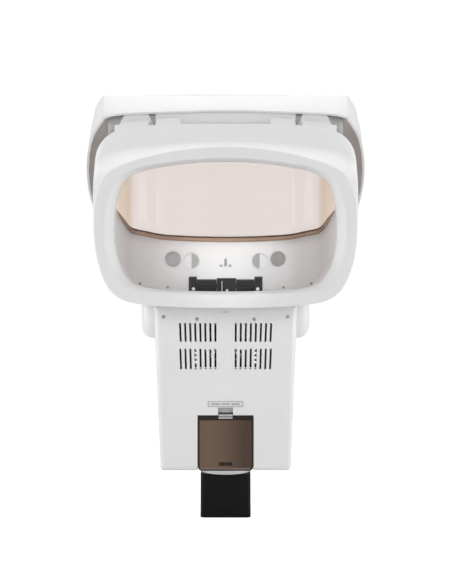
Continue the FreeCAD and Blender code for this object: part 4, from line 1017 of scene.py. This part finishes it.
def port_inserts():
    """Concave dish in each outer mist port; in each inner port, a near half vane and a deeper half. The
    dishes and deeper halves are grey: painted shade of the ports' depth.
    """
    low, high = box_mm("port_baffles")
    outer_x, z = high.x - DISH_R, (low.z + high.z) / 2
    dishes, vanes = [], []
    for side in (-1, 1):
        rows = [[Vector((side * outer_x + share * dx, low.y + 1 + depth, z + 1 + share * dz))
                 for dx, dz in circle_points(DISH_R)] for share, depth in DISH_STEPS]
        dishes.append(skin(rows, cap_last=True))
        vanes.append(half_disc(side, 0, low.y + 3.0, z - 2))
        dishes.append(half_disc(side, 180, low.y + 7.0, z - 2))
    # Painted shade: the deep dishes and halves are grey, the near vanes stay white
    new_piece("port_dishes", "hood", "painted_shade_grey", dishes, "port_baffles", 50)
    new_piece("port_vanes", "hood", "liner_white", vanes, "port_baffles")


# ------------------------------------------------------------------ stage, lights, camera
def floor_material():
    """Pale floor that looks white to the camera, keeps a soft contact shadow and sends light back up."""
    g = Graph("floor_white")
    shader = g.add("ShaderNodeBsdfDiffuse")
    g.link(g.ramp(g.noise(3.0, 2.0), grey(0.80), grey(0.84)), shader.inputs["Color"])
    glow = g.add("ShaderNodeEmission", Strength=0.74)
    both = g.add("ShaderNodeAddShader")
    g.link(shader.outputs["BSDF"], both.inputs[0])
    g.link(glow.outputs["Emission"], both.inputs[1])
    path = g.add("ShaderNodeLightPath")
    seen = g.add("ShaderNodeMixShader")
    g.link(path.outputs["Is Camera Ray"], seen.inputs["Fac"])
    g.link(shader.outputs["BSDF"], seen.inputs[1])
    g.link(both.outputs["Shader"], seen.inputs[2])
    return g.finish(seen.outputs["Shader"])


def build_stage():
    reach = 12.0
    mesh = bpy.data.meshes.new("floor")
    z = CAD_BOX[0][2]
    corners = [(-reach, -reach, z), (reach, -reach, z), (reach, reach, z), (-reach, reach, z)]
    mesh.from_pydata(corners, [], [(0, 1, 2, 3)])
    mesh.materials.append(floor_material())
    floor = bpy.data.objects.new("floor", mesh)
    bpy.context.scene.collection.objects.link(floor)


def area_light(name, place, aim, size, power):
    data = bpy.data.lights.new(name, "AREA")
    data.shape, data.size, data.size_y, data.energy = "RECTANGLE", size[0], size[1], power
    lamp = bpy.data.objects.new(name, data)
    lamp.location = place
    lamp.rotation_euler = (Vector(aim) - Vector(place)).to_track_quat("-Z", "Y").to_euler()
    lamp.visible_camera = False
    bpy.context.scene.collection.objects.link(lamp)
    return lamp


def build_world():
    """White to the camera; for everything else a soft room, dimmer at eye level than above and below."""
    world = bpy.data.worlds.new("studio")
    world.use_nodes = True
    tree = world.node_tree
    tree.nodes.clear()
    output = tree.nodes.new("ShaderNodeOutputWorld")
    coordinates = tree.nodes.new("ShaderNodeTexCoord")
    split = tree.nodes.new("ShaderNodeSeparateXYZ")
    tree.links.new(coordinates.outputs["Generated"], split.inputs["Vector"])
    height = tree.nodes.new("ShaderNodeMapRange")
    height.inputs["From Min"].default_value, height.inputs["From Max"].default_value = -1.0, 1.0
    height.inputs["To Min"].default_value, height.inputs["To Max"].default_value = 0.0, 1.0
    tree.links.new(split.outputs["Z"], height.inputs["Value"])
    sky = tree.nodes.new("ShaderNodeValToRGB")
    sky.color_ramp.elements[0].color = grey(ROOM_LOW)
    sky.color_ramp.elements[1].color = grey(ROOM_HIGH)
    middle = sky.color_ramp.elements.new(0.5)
    middle.color = grey(ROOM_FRONT)
    tree.links.new(height.outputs["Result"], sky.inputs["Fac"])
    room = tree.nodes.new("ShaderNodeBackground")
    tree.links.new(sky.outputs["Color"], room.inputs["Color"])
    backdrop = tree.nodes.new("ShaderNodeBackground")
    backdrop.inputs["Color"].default_value = grey(1.0)
    backdrop.inputs["Strength"].default_value = 1.02
    path = tree.nodes.new("ShaderNodeLightPath")
    choose = tree.nodes.new("ShaderNodeMixShader")
    tree.links.new(path.outputs["Is Camera Ray"], choose.inputs["Fac"])
    tree.links.new(room.outputs["Background"], choose.inputs[1])
    tree.links.new(backdrop.outputs["Background"], choose.inputs[2])
    tree.links.new(choose.outputs["Shader"], output.inputs["Surface"])
    bpy.context.scene.world = world


def build_light():
    """Soft room, a softbox at each front corner and each side, a large one overhead, and a small lamp
    that brightens the head space through the ring."""
    build_world()
    for side, x in (("left", -1), ("right", 1)):
        lamp = area_light("front_" + side, (0.8 * x, -2.3, 0.95), (0, 0, 0.48), (0.7, 0.7), 5.6)
        lamp.visible_glossy = False
        area_light("side_" + side, (1.9 * x, -0.45, 0.8), (0, 0, 0.5), (1.3, 1.2), 15)
    area_light("top_soft", (0.0, 0.2, 2.1), (0, 0, 0.6), (1.8, 1.2), 15)
    mouth = area_light("mouth_fill", (0, -0.95, 0.50), (0, 0, 0.488), (0.08, 0.05), 0.055)
    mouth.data.spread = math.radians(18)
    mouth.visible_glossy = False


def build_camera():
    data = bpy.data.cameras.new("camera")
    data.lens, data.sensor_width = LENS_MM, FILM_MM
    data.shift_x, data.shift_y = SHIFT_X, SHIFT_Y
    camera = bpy.data.objects.new("camera", data)
    camera.location = (0, -CAMERA_DISTANCE, CAMERA_HEIGHT)
    camera.rotation_euler = (math.pi / 2, 0, 0)
    bpy.context.scene.collection.objects.link(camera)
    bpy.context.scene.camera = camera
    bpy.context.scene.view_settings.view_transform = "Standard"


paint_nodes()
bezel_ring()
hood_arch()
hood_tub()
hood_deck()
lid_seat()
notch_shade_backs()
lid_lands()
liner_bowl()
liner_arch()
lid_frame()
visor()
visor_rim()
ear_covers()
tilt_carrier()
tank_plate()
tank_body()
caption_card()
port_inserts()
build_stage()
build_light()
build_camera()
